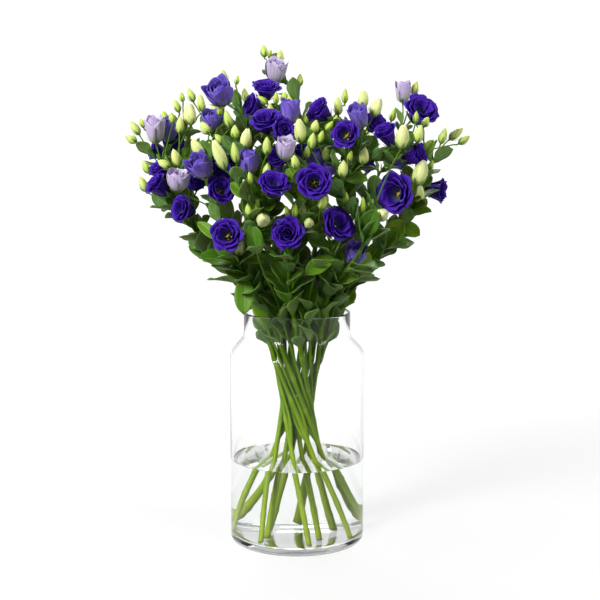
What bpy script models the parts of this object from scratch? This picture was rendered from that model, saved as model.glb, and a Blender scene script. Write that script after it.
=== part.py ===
"""A bunch of lisianthus standing in a clear glass jar vase, half filled with water.

Metres, +Z up. The origin is the middle of the vase's flat underside and -Y is the bunch's front.
Each of the twelve cut stems is one solid with its leaves, branches and closed buds. Each opened
bloom, or pair of blooms grown into each other, is a solid of its own on the end of its branch.
"""

import math

import bmesh
import bpy
import numpy as np
from mathutils import Vector

# Vase and water
VASE_HEIGHT = 0.345
BODY_RADIUS = 0.100
NECK_RADIUS = 0.0792
WALL = 0.004
FLOOR = 0.010
SHOULDER_TOP = 0.3145
SHOULDER_FOOT = 0.2805
HEEL_ROUND = 0.007
WATER_LEVEL = 0.124
GAP = 0.0003
VASE_STEPS = 24
SHOULDER_STEPS = 4
WELD = 0.00002
HOLE_SIDES = 6
HOLE_GAP = 0.0007

# Stems
STALK_RADIUS = 0.0031
CROWN_RADIUS = 0.0022
SEAT_RADIUS = 0.0024
SEAT_LENGTH = 0.004
STALK_KNOTS = 7
BRANCH_KNOTS = 2
TWIG_RADIUS = 0.0009
BRANCH_RADIUS = 0.0014
PEDICEL_RADIUS = 0.0011
FOOT_HEIGHT = 0.0122
WAIST_HEIGHT = 0.205
OUTER_WAIST = 0.0230
INNER_WAIST = 0.0080
OUTER_SPREAD = 0.400
INNER_SPREAD = 0.235
TOP_OF_STRAIGHT = 0.352
CROWN_LEAN = 1.6
CROWN_PULL = 0.42

# Balls that fill a bloom: share of its length and radius in widths, and for a ring of balls its
# share of the length, spread, radius and number
OPEN_CORE = ((0.08, 0.10), (0.30, 0.22), (0.50, 0.28), (0.80, 0.30))
OPEN_RIMS = ((0.58, 0.26, 0.16, 8), (0.86, 0.40, 0.14, 12))
CUP_CORE = ((0.06, 0.14), (0.26, 0.34), (0.50, 0.43), (0.75, 0.46))
CUP_RIMS = ((0.95, 0.36, 0.16, 10),)

# Closed buds, as shares of length and half width; those under the least width are left out
LEAST_BUD = 0.0115
BUD_PROFILE = ((0.07, 0.75), (0.46, 1.0), (1.0, 0.06))

# Blooms. A ring holds its share of the length, its spread, how strongly petals shape it, and its
# turn in petals. A sample holds a place within a petal: its angle in petals, outward and upward.
PETALS = 5
THROAT = 0.40
BLOOM_TURN = 2.4
WAVE_OUTWARD = 0.25
WAVE_UPWARD = 0.15
OPEN_RINGS = (
    (0.00, 0.11, 0.0, 0.0),
    (0.42, 0.52, 0.05, 0.0),
    (0.82, 1.00, 0.16, 0.0),
    (0.70, 0.69, 0.05, 0.25),
    (0.97, 0.64, 0.12, 0.5),
)
WIDE_BLOOM = 0.0385
WIDE_SAMPLES = ((-0.40, 0.55, -0.30), (0.0, 0.20, 0.45), (0.40, -0.55, -0.40))
CUP_RINGS = (
    (0.00, 0.18, 0.0, 0.0),
    (0.35, 0.74, 0.06, 0.0),
    (0.93, 1.00, 0.15, 0.0),
    (0.70, 0.62, 0.04, 0.0),
    (0.95, 0.42, 0.20, 0.5),
)
NARROW_SAMPLES = ((-0.28, 0.5, 0.25), (0.28, -0.5, 0.10))

# Spacing, in metres, and the numbers that tell who owns a place. The costs weigh a crooked or a
# crowded way against a long one, in metres.
OUTER_STEMS = 8
NEAREST_STEMS = 4
BLOOM_OWNER = 100
VASE_OWNER = -1
NOBODY = -2
PARTING_ROUNDS = 80
PARTING_SHARE = 0.35
STALK_SHARE = 0.5
SETTLED = 0.0001
HEAD_GAP = 0.0012
BRANCH_GAP = 0.0018
LEAF_GAP = 0.0032
SHORTEST_REACH = 0.030
LONGEST_REACH = 0.170
LEAST_RISE = 0.010
PULLS = (0.25, 0.40, 0.55)
STEP = 0.006
HEADS_A_STEM = 15
BEND_COST = 0.040
HEAD_BEND = 0.7
CROWDED_BRANCH = 12.0
NECK_FOOT = 0.290
NECK_BALLS = 96
FAR = 0.05

# Leaves
LEAF_LENGTH = 0.056
LEAF_WIDTH = 0.027
LEAF_THICK = 0.0016
LEAF_FOLD = 0.30
LEAF_ROOT = 0.0010
TWIG_LEAF_ROOT = 0.0001
LEAF_ROWS = (0.26, 0.66)
LEAST_LEAF_GAP = 0.0020
OWN_ROOT_REACH = 0.016
NODE_SPACING = 0.070
LOWEST_LEAF = 0.318
LEAF_TURN = 1.1
LEAF_SWINGS = (0.0, -0.35, 0.35, -0.7, 0.7, -1.05, 1.05)
LEAF_SPREADS = ((0.62, 0.16), (0.90, 0.10), (0.38, 0.24), (1.15, -0.05))
SWING_COST = 0.006
CROWDED_LEAF = 4.0
CROSSING_LEAF = 2.0
SEEN_LEAF_REACH = 0.030
SEEN_LEAF_FORWARDS = (0.55, 0.25, 0.0, -0.3)
SEEN_LEAF_UPPER = Vector((0.0, -1.0, 0.45))
SEEN_LEAF_DROOP = 0.10
SHORTEST_SEEN_LEAF = 0.030
LONGEST_SEEN_LEAF = 0.070
FRONT_COST = 0.05
CROWDED_SEEN_LEAF = 10.0

# Where the photographer's lens stood, worked out from the ellipses of the rim, water and foot:
# it turns a pixel of the 600 x 600 picture and a depth into a place in the bunch.
PICTURE_CENTRE = 300.0
LENS_PIXELS = 1309.0
LENS = Vector((0.0044, -1.920, 0.625))
LENS_TILT = math.radians(7.81)

# Half the bunch's width at each height, and how deep it is against its width.
BUNCH_HEIGHTS = (0.336, 0.362, 0.421, 0.480, 0.524, 0.598, 0.630, 0.660, 0.690, 0.720)
BUNCH_HALF_WIDTHS = (0.075, 0.108, 0.160, 0.190, 0.225, 0.246, 0.225, 0.170, 0.090, 0.030)
BUNCH_DEPTH = 0.70
LAYER = 0.050
PLACING_ROUNDS = 4

# How a bud's tip leans out with its place: forward or back, and for the buds that face the front
# sideways and up.
BUD_SPREAD = 1.6
FRONT_BUD_SPREAD = 0.8
FRONT_BUD_RISE = 0.30

# Crown of each stem: azimuth from +X in degrees, distance from the axis, height. The first eight
# stems stand in the outer ring of the bunch, the last four in the inner ring.
CROWNS = (
    (350, 0.172, 0.520),
    (40, 0.160, 0.530),
    (90, 0.128, 0.530),
    (140, 0.160, 0.535),
    (190, 0.172, 0.515),
    (228, 0.158, 0.480),
    (265, 0.122, 0.450),
    (308, 0.158, 0.478),
    (330, 0.090, 0.555),
    (60, 0.060, 0.600),
    (150, 0.080, 0.595),
    (240, 0.088, 0.555),
)

# Opened blooms: pixel across and down, layers behind the bunch's front, diameter and length in
# mm, the way it faces (degrees to the right of the front, degrees up) and its tint: V, L or P.
# Blooms in one inner list have grown into each other and are one solid.
V, L, P = "violet", "lavender", "pale"
BLOOMS = (
    [(220, 94, 1.0, 38, 36, -25, 50, L)],
    [(266, 92, 2.2, 42, 26, 10, 62, V)],
    [(256, 107, 2.0, 34, 28, -60, 20, V)],
    [(290, 112, 0.6, 25, 34, 5, 78, L)],
    [(276, 71, 2.6, 30, 34, 15, 66, P)],
    [(322, 113, 1.2, 40, 28, -60, 35, V)],
    [(266, 125, 1.0, 42, 30, -20, 50, V)],
    [(281, 133, 0.8, 38, 28, 40, 20, V)],
    [(212, 121, 2.2, 30, 28, 20, 60, L)],
    [(155, 130, 1.0, 26, 38, -10, 78, P)],
    [(168, 131, 2.0, 28, 30, 30, 68, L)],
    [(173, 146, 2.4, 34, 24, 20, 40, V)],
    [(159, 152, 2.6, 30, 26, -70, 20, V)],
    [(201, 167, 0.3, 33, 33, -45, 45, L)],
    [(161, 188, 0.4, 34, 34, -60, 40, V), (161, 172, 0.9, 28, 26, -50, 40, V)],
    [(178, 181, 0.0, 30, 28, 10, 70, P)],
    [(186, 210, 0.4, 38, 30, -45, 12, V)],
    [(219, 192, 0.3, 42, 28, 25, 25, V), (220, 173, 0.8, 32, 26, 20, 30, V)],
    [(198, 182, 2.0, 34, 26, -10, 20, V)],
    [(232, 164, 2.0, 30, 34, 30, 50, V)],
    [(248, 163, 0.5, 26, 33, -5, 78, L)],
    [(273, 188, 0.0, 44, 32, 15, 45, V)],
    [(314, 183, 0.0, 46, 30, 0, 12, V)],
    [(288, 234, 0.0, 47, 30, -5, 10, V)],
    [(228, 236, 0.0, 45, 30, -12, 8, V)],
    [(334, 227, 0.0, 50, 32, 40, 25, V)],
    [(354, 255, 0.0, 30, 34, 25, 50, L)],
    [(399, 194, 0.3, 56, 34, -38, 5, V)],
    [(434, 190, 1.5, 38, 34, 75, -5, V)],
    [(412, 156, 1.1, 34, 36, 60, 20, V)],
    [(388, 137, 1.0, 32, 36, -40, 50, V)],
    [(419, 114, 1.5, 54, 32, 25, 40, V)],
    [(403, 92, 2.0, 22, 32, 0, 84, P)],
    [(347, 136, 0.5, 40, 28, -20, 15, V)],
    [(359, 117, 1.6, 26, 34, -30, 60, L)],
    [(373, 125, 2.6, 32, 28, 20, 30, V)],
    [(286, 149, 0.2, 25, 30, 5, 65, P)],
    [(280, 158, 1.6, 32, 28, -30, 20, V)],
    [(314, 159, 1.0, 22, 26, 0, 70, L)],
    [(328, 168, 1.0, 24, 26, 20, 50, L)],
    [(303, 156, 2.4, 30, 30, -20, 60, V)],
    [(230, 150, 5.3, 44, 30, 205, 24, V), (221, 163, 5.3, 40, 30, 215, 6, V)],
    [(270, 166, 5.8, 46, 30, 178, 14, V), (286, 180, 5.8, 42, 30, 170, 6, V)],
    [(345, 176, 5.6, 46, 30, 150, 15, V), (361, 163, 5.6, 40, 30, 140, 24, V)],
    [(392, 160, 5.0, 42, 30, 130, 25, V)],
    [(318, 138, 5.6, 28, 34, 165, 62, L)],
)

# Closed buds: pixel across and down, layers behind the front, width and length in mm, and how far
# the tip leans to the right of straight up, in degrees. None leaves the lean to the bunch's spread.
BUDS = (
    (264, 51, 2.6, 12, 18, -4),
    (270, 54, 3.0, 7, 13, 10),
    (280, 57, 2.4, 12, 20, 6),
    (224, 77, 1.4, 12, 21, -12),
    (237, 80, 1.8, 7, 13, 12),
    (182, 97, 1.8, 8, 14, -10),
    (191, 95, 1.6, 12, 20, -20),
    (201, 103, 1.4, 13, 23, -6),
    (177, 106, 1.4, 10, 18, -18),
    (190, 115, 0.8, 19, 27, -4),
    (165, 116, 1.6, 9, 15, -22),
    (172, 118, 1.2, 10, 15, -10),
    (180, 125, 0.8, 13, 23, 4),
    (205, 128, 0.8, 14, 18, -30),
    (220, 110, 1.8, 10, 15, 4),
    (228, 119, 1.0, 12, 24, -16),
    (135, 128, 0.6, 13, 22, -32),
    (142, 123, 1.2, 8, 14, -20),
    (131, 139, 0.8, 12, 18, -62),
    (235, 132, 0.8, 12, 18, 0),
    (219, 139, 1.0, 11, 15, -40),
    (198, 149, 0.6, 16, 24, -30),
    (208, 150, 0.9, 14, 22, 12),
    (220, 156, 0.0, 17, 38, -20),
    (235, 153, 0.4, 12, 27, -8),
    (246, 140, 0.6, 17, 26, 12),
    (267, 146, 0.4, 13, 23, 0),
    (295, 162, 0.0, 12, 18, -6),
    (267, 171, 0.5, 13, 20, 4),
    (250, 178, 0.0, 8, 16, -8),
    (164, 164, 0.2, 13, 18, -60),
    (176, 158, 0.6, 15, 24, -16),
    (146, 167, 0.8, 12, 19, -26),
    (143, 184, 0.6, 14, 23, -22),
    (172, 174, 0.7, 9, 15, -20),
    (270, 110, 1.2, 11, 17, 0),
    (263, 100, 1.6, 8, 16, -50),
    (276, 98, 1.4, 8, 16, 0),
    (284, 97, 1.6, 10, 14, 16),
    (300, 132, 0.6, 17, 29, -6),
    (305, 119, 1.2, 8, 13, -8),
    (314, 118, 1.4, 9, 13, 34),
    (315, 127, 0.9, 13, 18, 12),
    (312, 141, 0.4, 12, 21, 10),
    (321, 137, 0.8, 10, 17, 18),
    (329, 126, 1.0, 9, 16, 40),
    (307, 152, 0.6, 9, 17, 10),
    (326, 154, 0.8, 11, 18, 0),
    (338, 106, 1.2, 13, 24, -2),
    (345, 96, 1.8, 9, 20, 2),
    (363, 100, 1.4, 16, 22, 8),
    (376, 108, 1.2, 18, 24, 20),
    (393, 115, 2.0, 9, 18, 16),
    (415, 88, 2.2, 12, 21, 14),
    (416, 117, 0.4, 8, 15, 4),
    (426, 122, 0.6, 11, 14, 24),
    (402, 138, 0.2, 20, 29, 6),
    (419, 134, 0.6, 14, 24, 12),
    (443, 136, 1.4, 12, 22, 16),
    (456, 134, 1.4, 14, 24, 50),
    (464, 140, 1.6, 12, 19, 56),
    (364, 156, 0.6, 15, 22, 8),
    (343, 169, 0.5, 15, 22, 4),
    (350, 157, 0.9, 9, 16, 14),
    (420, 174, 0.3, 22, 32, 14),
    (419, 195, 0.9, 16, 22, 12),
    (431, 165, 1.2, 9, 13, 20),
    (382, 215, 0.0, 19, 24, None),
    (363, 205, 0.2, 8, 21, 0),
    (371, 203, 0.5, 8, 12, 24),
    (309, 223, 0.0, 15, 20, None),
    (323, 203, 0.2, 12, 18, 20),
    (346, 199, 0.4, 9, 18, 0),
    (287, 211, 0.4, 8, 14, -10),
    (295, 210, 0.3, 9, 19, 0),
    (304, 210, 0.6, 15, 21, 6),
    (249, 211, 0.2, 12, 20, -10),
    (257, 205, 0.4, 8, 15, 10),
    (263, 220, 0.0, 20, 26, None),
    (247, 236, 0.2, 9, 14, 4),
    (240, 247, 0.0, 18, 24, 12),
    (215, 110, 4.5, 13, 22, -16),
    (245, 95, 4.0, 11, 20, -6),
    (290, 100, 4.3, 14, 24, 4),
    (300, 80, 3.4, 10, 18, 2),
    (335, 120, 4.8, 13, 22, 10),
    (365, 135, 4.8, 15, 24, 16),
    (410, 140, 3.9, 12, 20, 30),
    (250, 185, 5.5, 14, 22, -8),
    (215, 195, 5.1, 12, 20, -24),
    (325, 200, 5.6, 14, 22, 10),
    (370, 195, 5.3, 12, 20, 26),
    (170, 140, 3.7, 12, 20, -30),
)

# Leaves that show at the front: pixel of the root, pixel of the tip, and width in mm.
SEEN_LEAVES = (
    (224, 262, 186, 245, 17),
    (218, 248, 192, 228, 14),
    (230, 280, 207, 264, 18),
    (210, 250, 186, 233, 13),
    (246, 258, 270, 257, 17),
    (295, 303, 283, 271, 26),
    (298, 303, 296, 273, 13),
    (303, 288, 332, 305, 32),
    (334, 300, 330, 268, 22),
    (338, 306, 352, 288, 22),
    (350, 308, 360, 284, 20),
    (243, 278, 242, 312, 24),
    (254, 296, 252, 277, 17),
    (281, 319, 256, 308, 26),
    (259, 266, 268, 291, 15),
    (343, 252, 317, 265, 20),
    (349, 284, 349, 269, 15),
    (355, 281, 372, 258, 20),
    (376, 276, 388, 256, 20),
    (386, 256, 398, 239, 17),
    (399, 226, 417, 234, 20),
    (403, 218, 427, 198, 18),
    (383, 242, 396, 221, 24),
    (358, 240, 368, 214, 24),
    (304, 250, 315, 274, 12),
    (246, 275, 228, 270, 14),
    (222, 150, 222, 124, 26),
    (360, 172, 380, 140, 26),
    (365, 203, 388, 176, 24),
    (333, 199, 350, 183, 22),
    (262, 345, 260, 320, 20),
    (313, 340, 291, 334, 22),
)


def picture_point(across, down, y):
    """The point at depth y that the photograph shows at this pixel."""
    right = (across - PICTURE_CENTRE) / LENS_PIXELS
    up = (PICTURE_CENTRE - down) / LENS_PIXELS
    ray = Vector(
        (
            right,
            math.cos(LENS_TILT) + up * math.sin(LENS_TILT),
            up * math.cos(LENS_TILT) - math.sin(LENS_TILT),
        )
    )
    return LENS + ray * ((y - LENS.y) / ray.y)


def front_of_bunch(x, z):
    """How far forward of the axis the bunch's front surface lies."""
    half = float(np.interp(z, BUNCH_HEIGHTS, BUNCH_HALF_WIDTHS))
    return BUNCH_DEPTH * half * math.sqrt(max(0.0, 1.0 - (x / half) ** 2))


class Head:
    """An opened bloom or a closed bud, with the point where its flower stalk ends."""

    def __init__(self, place, group, centre, axis, width, length, tint):
        self.place = place
        self.group = group
        self.stem = None
        self.axis = axis
        self.width = width
        self.length = length
        self.tint = tint
        self.base = centre - axis * (0.5 * length)

    def owner(self):
        return self.stem if self.tint == "bud" else BLOOM_OWNER + self.group

    def filling(self):
        """Balls that fill the head, as points and radii."""
        if self.tint == "bud":
            reach = (0.25, 0.5, 0.75)
            points = [self.base + self.axis * (self.length * share) for share in reach]
            return points, [0.42 * self.width, 0.5 * self.width, 0.35 * self.width]
        side = self.axis.orthogonal().normalized()
        over = self.axis.cross(side)
        core, rims = (OPEN_CORE, OPEN_RIMS) if self.tint == "violet" else (CUP_CORE, CUP_RIMS)
        points = [self.base + self.axis * (self.length * share) for share, _ in core]
        radii = [self.width * ball for _, ball in core]
        for share, spread, ball, count in rims:
            for turn in range(count):
                angle = math.tau * turn / count
                out = side * math.cos(angle) + over * math.sin(angle)
                points.append(
                    self.base + self.axis * (self.length * share) + out * (self.width * spread)
                )
                radii.append(self.width * ball)
        return points, radii


def place_in_bunch(across, down, back):
    """Where a head seen at this pixel lies, a number of layers behind the bunch's front."""
    y = 0.0
    for _ in range(PLACING_ROUNDS):
        point = picture_point(across, down, y)
        y = back * LAYER - front_of_bunch(point.x, point.z)
    return picture_point(across, down, y)


def facing(yaw, pitch):
    """The direction this many degrees right of the front and above the level."""
    yaw, pitch = math.radians(yaw), math.radians(pitch)
    return Vector(
        (math.sin(yaw) * math.cos(pitch), -math.cos(yaw) * math.cos(pitch), math.sin(pitch))
    )


def bud_axis(point, lean):
    if lean is None:
        return Vector((FRONT_BUD_SPREAD * point.x, -1.0, FRONT_BUD_RISE)).normalized()
    lean = math.radians(lean)
    return Vector((math.sin(lean), BUD_SPREAD * point.y, math.cos(lean))).normalized()


def all_heads():
    heads = []
    for group, blooms in enumerate(BLOOMS):
        for across, down, back, width, length, yaw, pitch, tint in blooms:
            centre = place_in_bunch(across, down, back)
            axis = facing(yaw, pitch)
            heads.append(
                Head(len(heads), group, centre, axis, width / 1000, length / 1000, tint)
            )
    for index, (across, down, back, width, length, lean) in enumerate(BUDS):
        centre = place_in_bunch(across, down, back)
        axis = bud_axis(centre, lean)
        group = len(BLOOMS) + index
        heads.append(Head(len(heads), group, centre, axis, width / 1000, length / 1000, "bud"))
    return heads


def part_heads(heads, stems):
    """Moves heads clear of each other and of the stalks along the line of sight, so that the
    picture stays the same."""
    groups = [head.group for head in heads]
    count = max(groups) + 1
    stalks = np.array([point for stem in stems for point in dense(stem.knots)])
    for _ in range(PARTING_ROUNDS):
        fillings = [head.filling() for head in heads]
        points = np.array([point for filling in fillings for point in filling[0]])
        radii = np.array([radius for filling in fillings for radius in filling[1]])
        owners = np.array([g for g, filling in zip(groups, fillings) for _ in filling[0]])
        starts = np.searchsorted(owners, np.arange(count))
        apart = np.linalg.norm(points[:, None] - points[None], axis=2)
        overlap = radii[:, None] + radii[None] + HEAD_GAP - apart
        overlap[owners[:, None] == owners[None]] = -1.0
        overlap = np.maximum.reduceat(np.maximum.reduceat(overlap, starts, axis=0), starts, axis=1)
        overlap = np.clip(overlap, 0.0, None)
        depth = np.array([points[owners == group, 1].mean() for group in range(count)])
        behind = np.sign(depth[:, None] - depth[None] + 1e-9 * np.arange(count)[:, None])
        shift = PARTING_SHARE * (overlap * behind).sum(axis=1)
        apart = np.linalg.norm(points[:, None] - stalks[None], axis=2)
        against = radii[:, None] + STALK_RADIUS + HEAD_GAP - apart
        worst = np.maximum.reduceat(against.max(axis=1), starts)
        for group in np.flatnonzero(worst > 0.0):
            mine = np.where(owners == group, against.max(axis=1), -1.0).argmax()
            stalk = stalks[against[mine].argmax()]
            away = 1.0 if depth[group] > stalk[1] else -1.0
            shift[group] += STALK_SHARE * worst[group] * away
        if np.abs(shift).max() < SETTLED:
            break
        for head in heads:
            ray = head.base - LENS
            head.base = head.base + ray * (float(shift[head.group]) / ray.y)


class Room:
    """Balls that stand for everything placed so far, each with the node that owns it."""

    def __init__(self):
        self.points = np.empty((0, 3))
        self.radii = np.empty(0)
        self.owners = np.empty(0, dtype=int)
        self.places = np.empty(0, dtype=int)

    def fill(self, owner, points, radii, place=-1):
        self.points = np.vstack([self.points, np.array(points)])
        self.radii = np.append(self.radii, radii)
        self.owners = np.append(self.owners, np.full(len(points), owner))
        self.places = np.append(self.places, np.full(len(points), place))

    def empty(self, place):
        self.owners[self.places == place] = NOBODY

    def around(self, centre, reach, without):
        near = np.linalg.norm(self.points - np.array(centre), axis=1) < reach
        near &= self.owners != NOBODY
        for owner in without:
            near &= self.owners != owner
        return self.points[near], self.radii[near]

    def of_owner(self, centre, least, most, owner):
        gaps = np.linalg.norm(self.points - np.array(centre), axis=1)
        near = (gaps > least) & (gaps < most) & (self.owners == owner)
        return self.points[near], self.radii[near]


def clearance(shape, radii, around):
    """The least gap between a row of balls and those around it."""
    points, others = around
    if not len(points):
        return FAR
    apart = np.linalg.norm(np.array(shape)[:, None] - points[None], axis=2)
    return float((apart - np.asarray(radii)[:, None] - others[None]).min())


def curve_knots(start, first, second, end, count):
    """Evenly spaced points of a Bezier curve, which a stalk then joins by straight runs."""
    points = []
    for index in range(count + 1):
        t = index / count
        u = 1.0 - t
        points.append(
            start * u**3 + first * (3 * u * u * t) + second * (3 * u * t * t) + end * t**3
        )
    return points


def dense(knots):
    """Points about one STEP apart along the straight runs between the knots."""
    points = []
    for before, after in zip(knots, knots[1:]):
        count = max(1, round((after - before).length / STEP))
        points += [before.lerp(after, step / count) for step in range(count)]
    return points + [knots[-1]]


class Stem:
    """One cut stem: its stalk, and the branches, flower stalks, buds and leaves it carries."""

    def __init__(self, index, azimuth, reach, height):
        self.index = index
        outer = index < OUTER_STEMS
        waist = OUTER_WAIST if outer else INNER_WAIST
        spread = OUTER_SPREAD if outer else INNER_SPREAD
        climb = TOP_OF_STRAIGHT - WAIST_HEIGHT
        turn = math.radians(azimuth) + math.atan2(spread * climb, waist)
        side = Vector((math.cos(turn), math.sin(turn), 0.0))
        self.slope = Vector((math.sin(turn) * spread, -math.cos(turn) * spread, 1.0))
        waist_point = side * waist + Vector((0.0, 0.0, WAIST_HEIGHT))
        self.foot = waist_point + self.slope * (FOOT_HEIGHT - WAIST_HEIGHT)
        top = waist_point + self.slope * climb
        out = Vector((math.cos(math.radians(azimuth)), math.sin(math.radians(azimuth)), 0.0))
        self.crown = out * reach + Vector((0.0, 0.0, height))
        up = (Vector((0.0, 0.0, 1.0)) + out * (CROWN_LEAN * reach)).normalized()
        pull = CROWN_PULL * (self.crown - top).length
        first = top + self.slope.normalized() * pull
        arc_knots = curve_knots(top, first, self.crown - up * pull, self.crown, STALK_KNOTS)
        self.knots = [self.foot, *arc_knots]
        self.branches = []
        self.leaves = []

    def forks(self):
        """Points where a branch may leave, with the direction of growth there."""
        places = [(self.knots[-1], (self.knots[-1] - self.knots[-2]).normalized(), None)]
        for carrier in [None, *self.branches]:
            knots = carrier.knots if carrier else self.knots
            for before, knot, after in zip(knots, knots[1:], knots[2:]):
                places.append((knot, (after - before).normalized(), carrier))
        return places


class Branch:
    """A side branch or flower stalk from a fork to the head that it carries."""

    def __init__(self, head, knots, carrier):
        self.head = head
        self.knots = knots
        self.carrier = carrier


def fill_with_vase(room):
    wall = NECK_RADIUS - 0.5 * WALL
    for height in np.arange(NECK_FOOT, VASE_HEIGHT, STEP):
        for turn in range(NECK_BALLS):
            angle = math.tau * turn / NECK_BALLS
            point = (wall * math.cos(angle), wall * math.sin(angle), float(height))
            room.fill(VASE_OWNER, [point], [0.5 * WALL + HEAD_GAP])


def share_out(heads, stems):
    """Gives each head to the stem whose crown is nearest, or to the next once that one is full."""
    gaps = []
    for head in heads:
        for stem in stems:
            gaps.append(((stem.crown - head.base).length, head.place, stem.index))
    carried = {stem.index: 0 for stem in stems}
    for _, place, index in sorted(gaps):
        if heads[place].stem is None and carried[index] < HEADS_A_STEM:
            heads[place].stem = index
            carried[index] += 1


def reach_for(head, stems, room):
    """The stem and the path by which a head is carried, clear of everything else."""
    best = None
    own = [np.array(filling) for filling in head.filling()]
    for stem in stems:
        around = room.around(head.base, LONGEST_REACH, [stem.index, head.owner()])
        for fork, growth, carrier in stem.forks():
            gap = head.base - fork
            if not SHORTEST_REACH < gap.length < LONGEST_REACH or gap.z < LEAST_RISE:
                continue
            straight = gap.normalized()
            bend = straight.angle(growth) + HEAD_BEND * straight.angle(head.axis)
            if best and gap.length + BEND_COST * bend > best[0]:
                continue
            for pull in PULLS:
                first = fork + growth * (pull * gap.length)
                second = head.base - head.axis * (pull * gap.length)
                knots = curve_knots(fork, first, second, head.base, BRANCH_KNOTS)
                path = dense(knots)
                free = clearance(path, [PEDICEL_RADIUS] * len(path), around)
                free = min(free, clearance(path[:-2], [PEDICEL_RADIUS] * (len(path) - 2), own))
                cost = gap.length + BEND_COST * bend
                cost += CROWDED_BRANCH * max(0.0, BRANCH_GAP - free)
                if best is None or cost < best[0]:
                    best = (cost, free, stem, knots, carrier)
    return best


def carry(heads, stems, room):
    """Joins every head to its stem, or to whichever stem has a clear way to it."""
    def gap_to_crown(head):
        return (stems[head.stem].crown - head.base).length

    for head in sorted(heads, key=gap_to_crown):
        found = reach_for(head, [stems[head.stem]], room)
        if found is None or found[1] < 0.5 * BRANCH_GAP:
            others = sorted(stems, key=lambda stem: (stem.crown - head.base).length)
            other = reach_for(head, others[:NEAREST_STEMS], room)
            if found is None or (other and other[1] > found[1]):
                found = other
        if found is None:
            continue
        stem, knots, carrier = found[2:]
        if head.tint == "bud":
            points, radii = head.filling()
            room.empty(head.place)
            room.fill(stem.index, points, radii, head.place)
        stem.branches.append(Branch(head, knots, carrier))
        path = dense(knots)
        room.fill(stem.index, path, [BRANCH_RADIUS] * len(path))


class Leaf:
    """A leaf blade from its root on a stem: direction of growth, upper side, length and width."""

    def __init__(self, root, growth, upper, length, width, droop):
        self.root = root
        self.growth = growth.normalized()
        self.side = self.growth.cross(upper).normalized()
        self.upper = self.side.cross(self.growth).normalized()
        self.length = length
        self.width = width
        self.droop = droop

    def midrib(self, share):
        along = self.growth * (self.length * share * (1.0 - 0.25 * self.droop * share))
        return self.root + along - self.upper * (self.droop * self.length * share**2)

    def half_width(self, share):
        return 0.5 * self.width * math.sin(math.pi * share**0.85) ** 0.75

    def point(self, share, across):
        """A point of the blade: share runs from root to tip, across from -1 to 1."""
        half = self.half_width(share)
        fold = self.upper * (LEAF_FOLD * half * abs(across))
        return self.midrib(share) + self.side * (half * across) + fold

    def filling(self):
        points = []
        for step in range(1, 11):
            share = 0.02 + 0.098 * step if step < 10 else 1.0
            for across in (-1.0, -0.5, 0.0, 0.5, 1.0) if 1 < step < 10 else (0.0,):
                points.append(self.point(share, across))
        return points, [0.5 * LEAF_THICK] * len(points)


def leaf_pair(stem, path, index, turn, room):
    """Two opposite leaves at a node of the stem, each turned to the clearest side near its own."""
    root = path[index]
    growth = (path[index + 1] - path[index - 1]).normalized()
    first = growth.orthogonal().normalized()
    second = growth.cross(first)
    around = room.around(root, 1.5 * LEAF_LENGTH, [stem.index])
    own = room.of_owner(root, OWN_ROOT_REACH, 1.5 * LEAF_LENGTH, stem.index)
    for opposite in (0.0, math.pi):
        best = None
        for swing in LEAF_SWINGS:
            angle = turn + opposite + swing
            out = first * math.cos(angle) + second * math.sin(angle)
            for spread, droop in LEAF_SPREADS:
                leaf = Leaf(
                    root + out * LEAF_ROOT,
                    growth * math.cos(spread) + out * math.sin(spread),
                    growth * math.sin(spread) - out * math.cos(spread),
                    LEAF_LENGTH,
                    LEAF_WIDTH,
                    droop,
                )
                free = clearance(*leaf.filling(), around)
                crossing = max(0.0, LEAF_GAP - clearance(*leaf.filling(), own))
                cost = SWING_COST * abs(swing) + CROSSING_LEAF * crossing
                cost += CROWDED_LEAF * max(0.0, LEAF_GAP - free)
                if best is None or cost < best[0]:
                    best = (cost, free, leaf)
        if best[1] > LEAST_LEAF_GAP:
            stem.leaves.append(best[2])
            room.fill(stem.index, *best[2].filling())


def seen_leaf(stems, room, root_pixel, tip_pixel, width):
    """A leaf that the photograph shows, from the foremost stem near its root to its tip."""
    best = None
    for stem in stems:
        for knots in [stem.knots] + [branch.knots for branch in stem.branches]:
            path = dense(knots)
            sunk = LEAF_ROOT if knots is stem.knots else TWIG_LEAF_ROOT
            for index in range(1, len(path) - 3):
                root = path[index]
                at_root = picture_point(*root_pixel, root.y)
                off = (at_root - root).length
                if off > SEEN_LEAF_REACH:
                    continue
                around = room.around(root, 1.6 * LEAF_LENGTH, [stem.index])
                own = room.of_owner(root, OWN_ROOT_REACH, 1.6 * LEAF_LENGTH, stem.index)
                toward = picture_point(*tip_pixel, root.y) - at_root
                for forward in SEEN_LEAF_FORWARDS:
                    growth = toward + Vector((0.0, -forward * toward.length, 0.0))
                    length = max(growth.length + 0.5 * off, SHORTEST_SEEN_LEAF)
                    leaf = Leaf(
                        root + growth.normalized() * sunk,
                        growth,
                        SEEN_LEAF_UPPER,
                        min(length, LONGEST_SEEN_LEAF),
                        width,
                        SEEN_LEAF_DROOP,
                    )
                    free = clearance(*leaf.filling(), around)
                    crossing = max(0.0, LEAF_GAP - clearance(*leaf.filling(), own))
                    cost = off + FRONT_COST * root.y + CROSSING_LEAF * crossing
                    cost += CROWDED_SEEN_LEAF * max(0.0, LEAF_GAP - free)
                    if best is None or cost < best[0]:
                        best = (cost, free, stem, leaf)
    if best and best[1] > LEAST_LEAF_GAP:
        best[2].leaves.append(best[3])
        room.fill(best[2].index, *best[3].filling())


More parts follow.
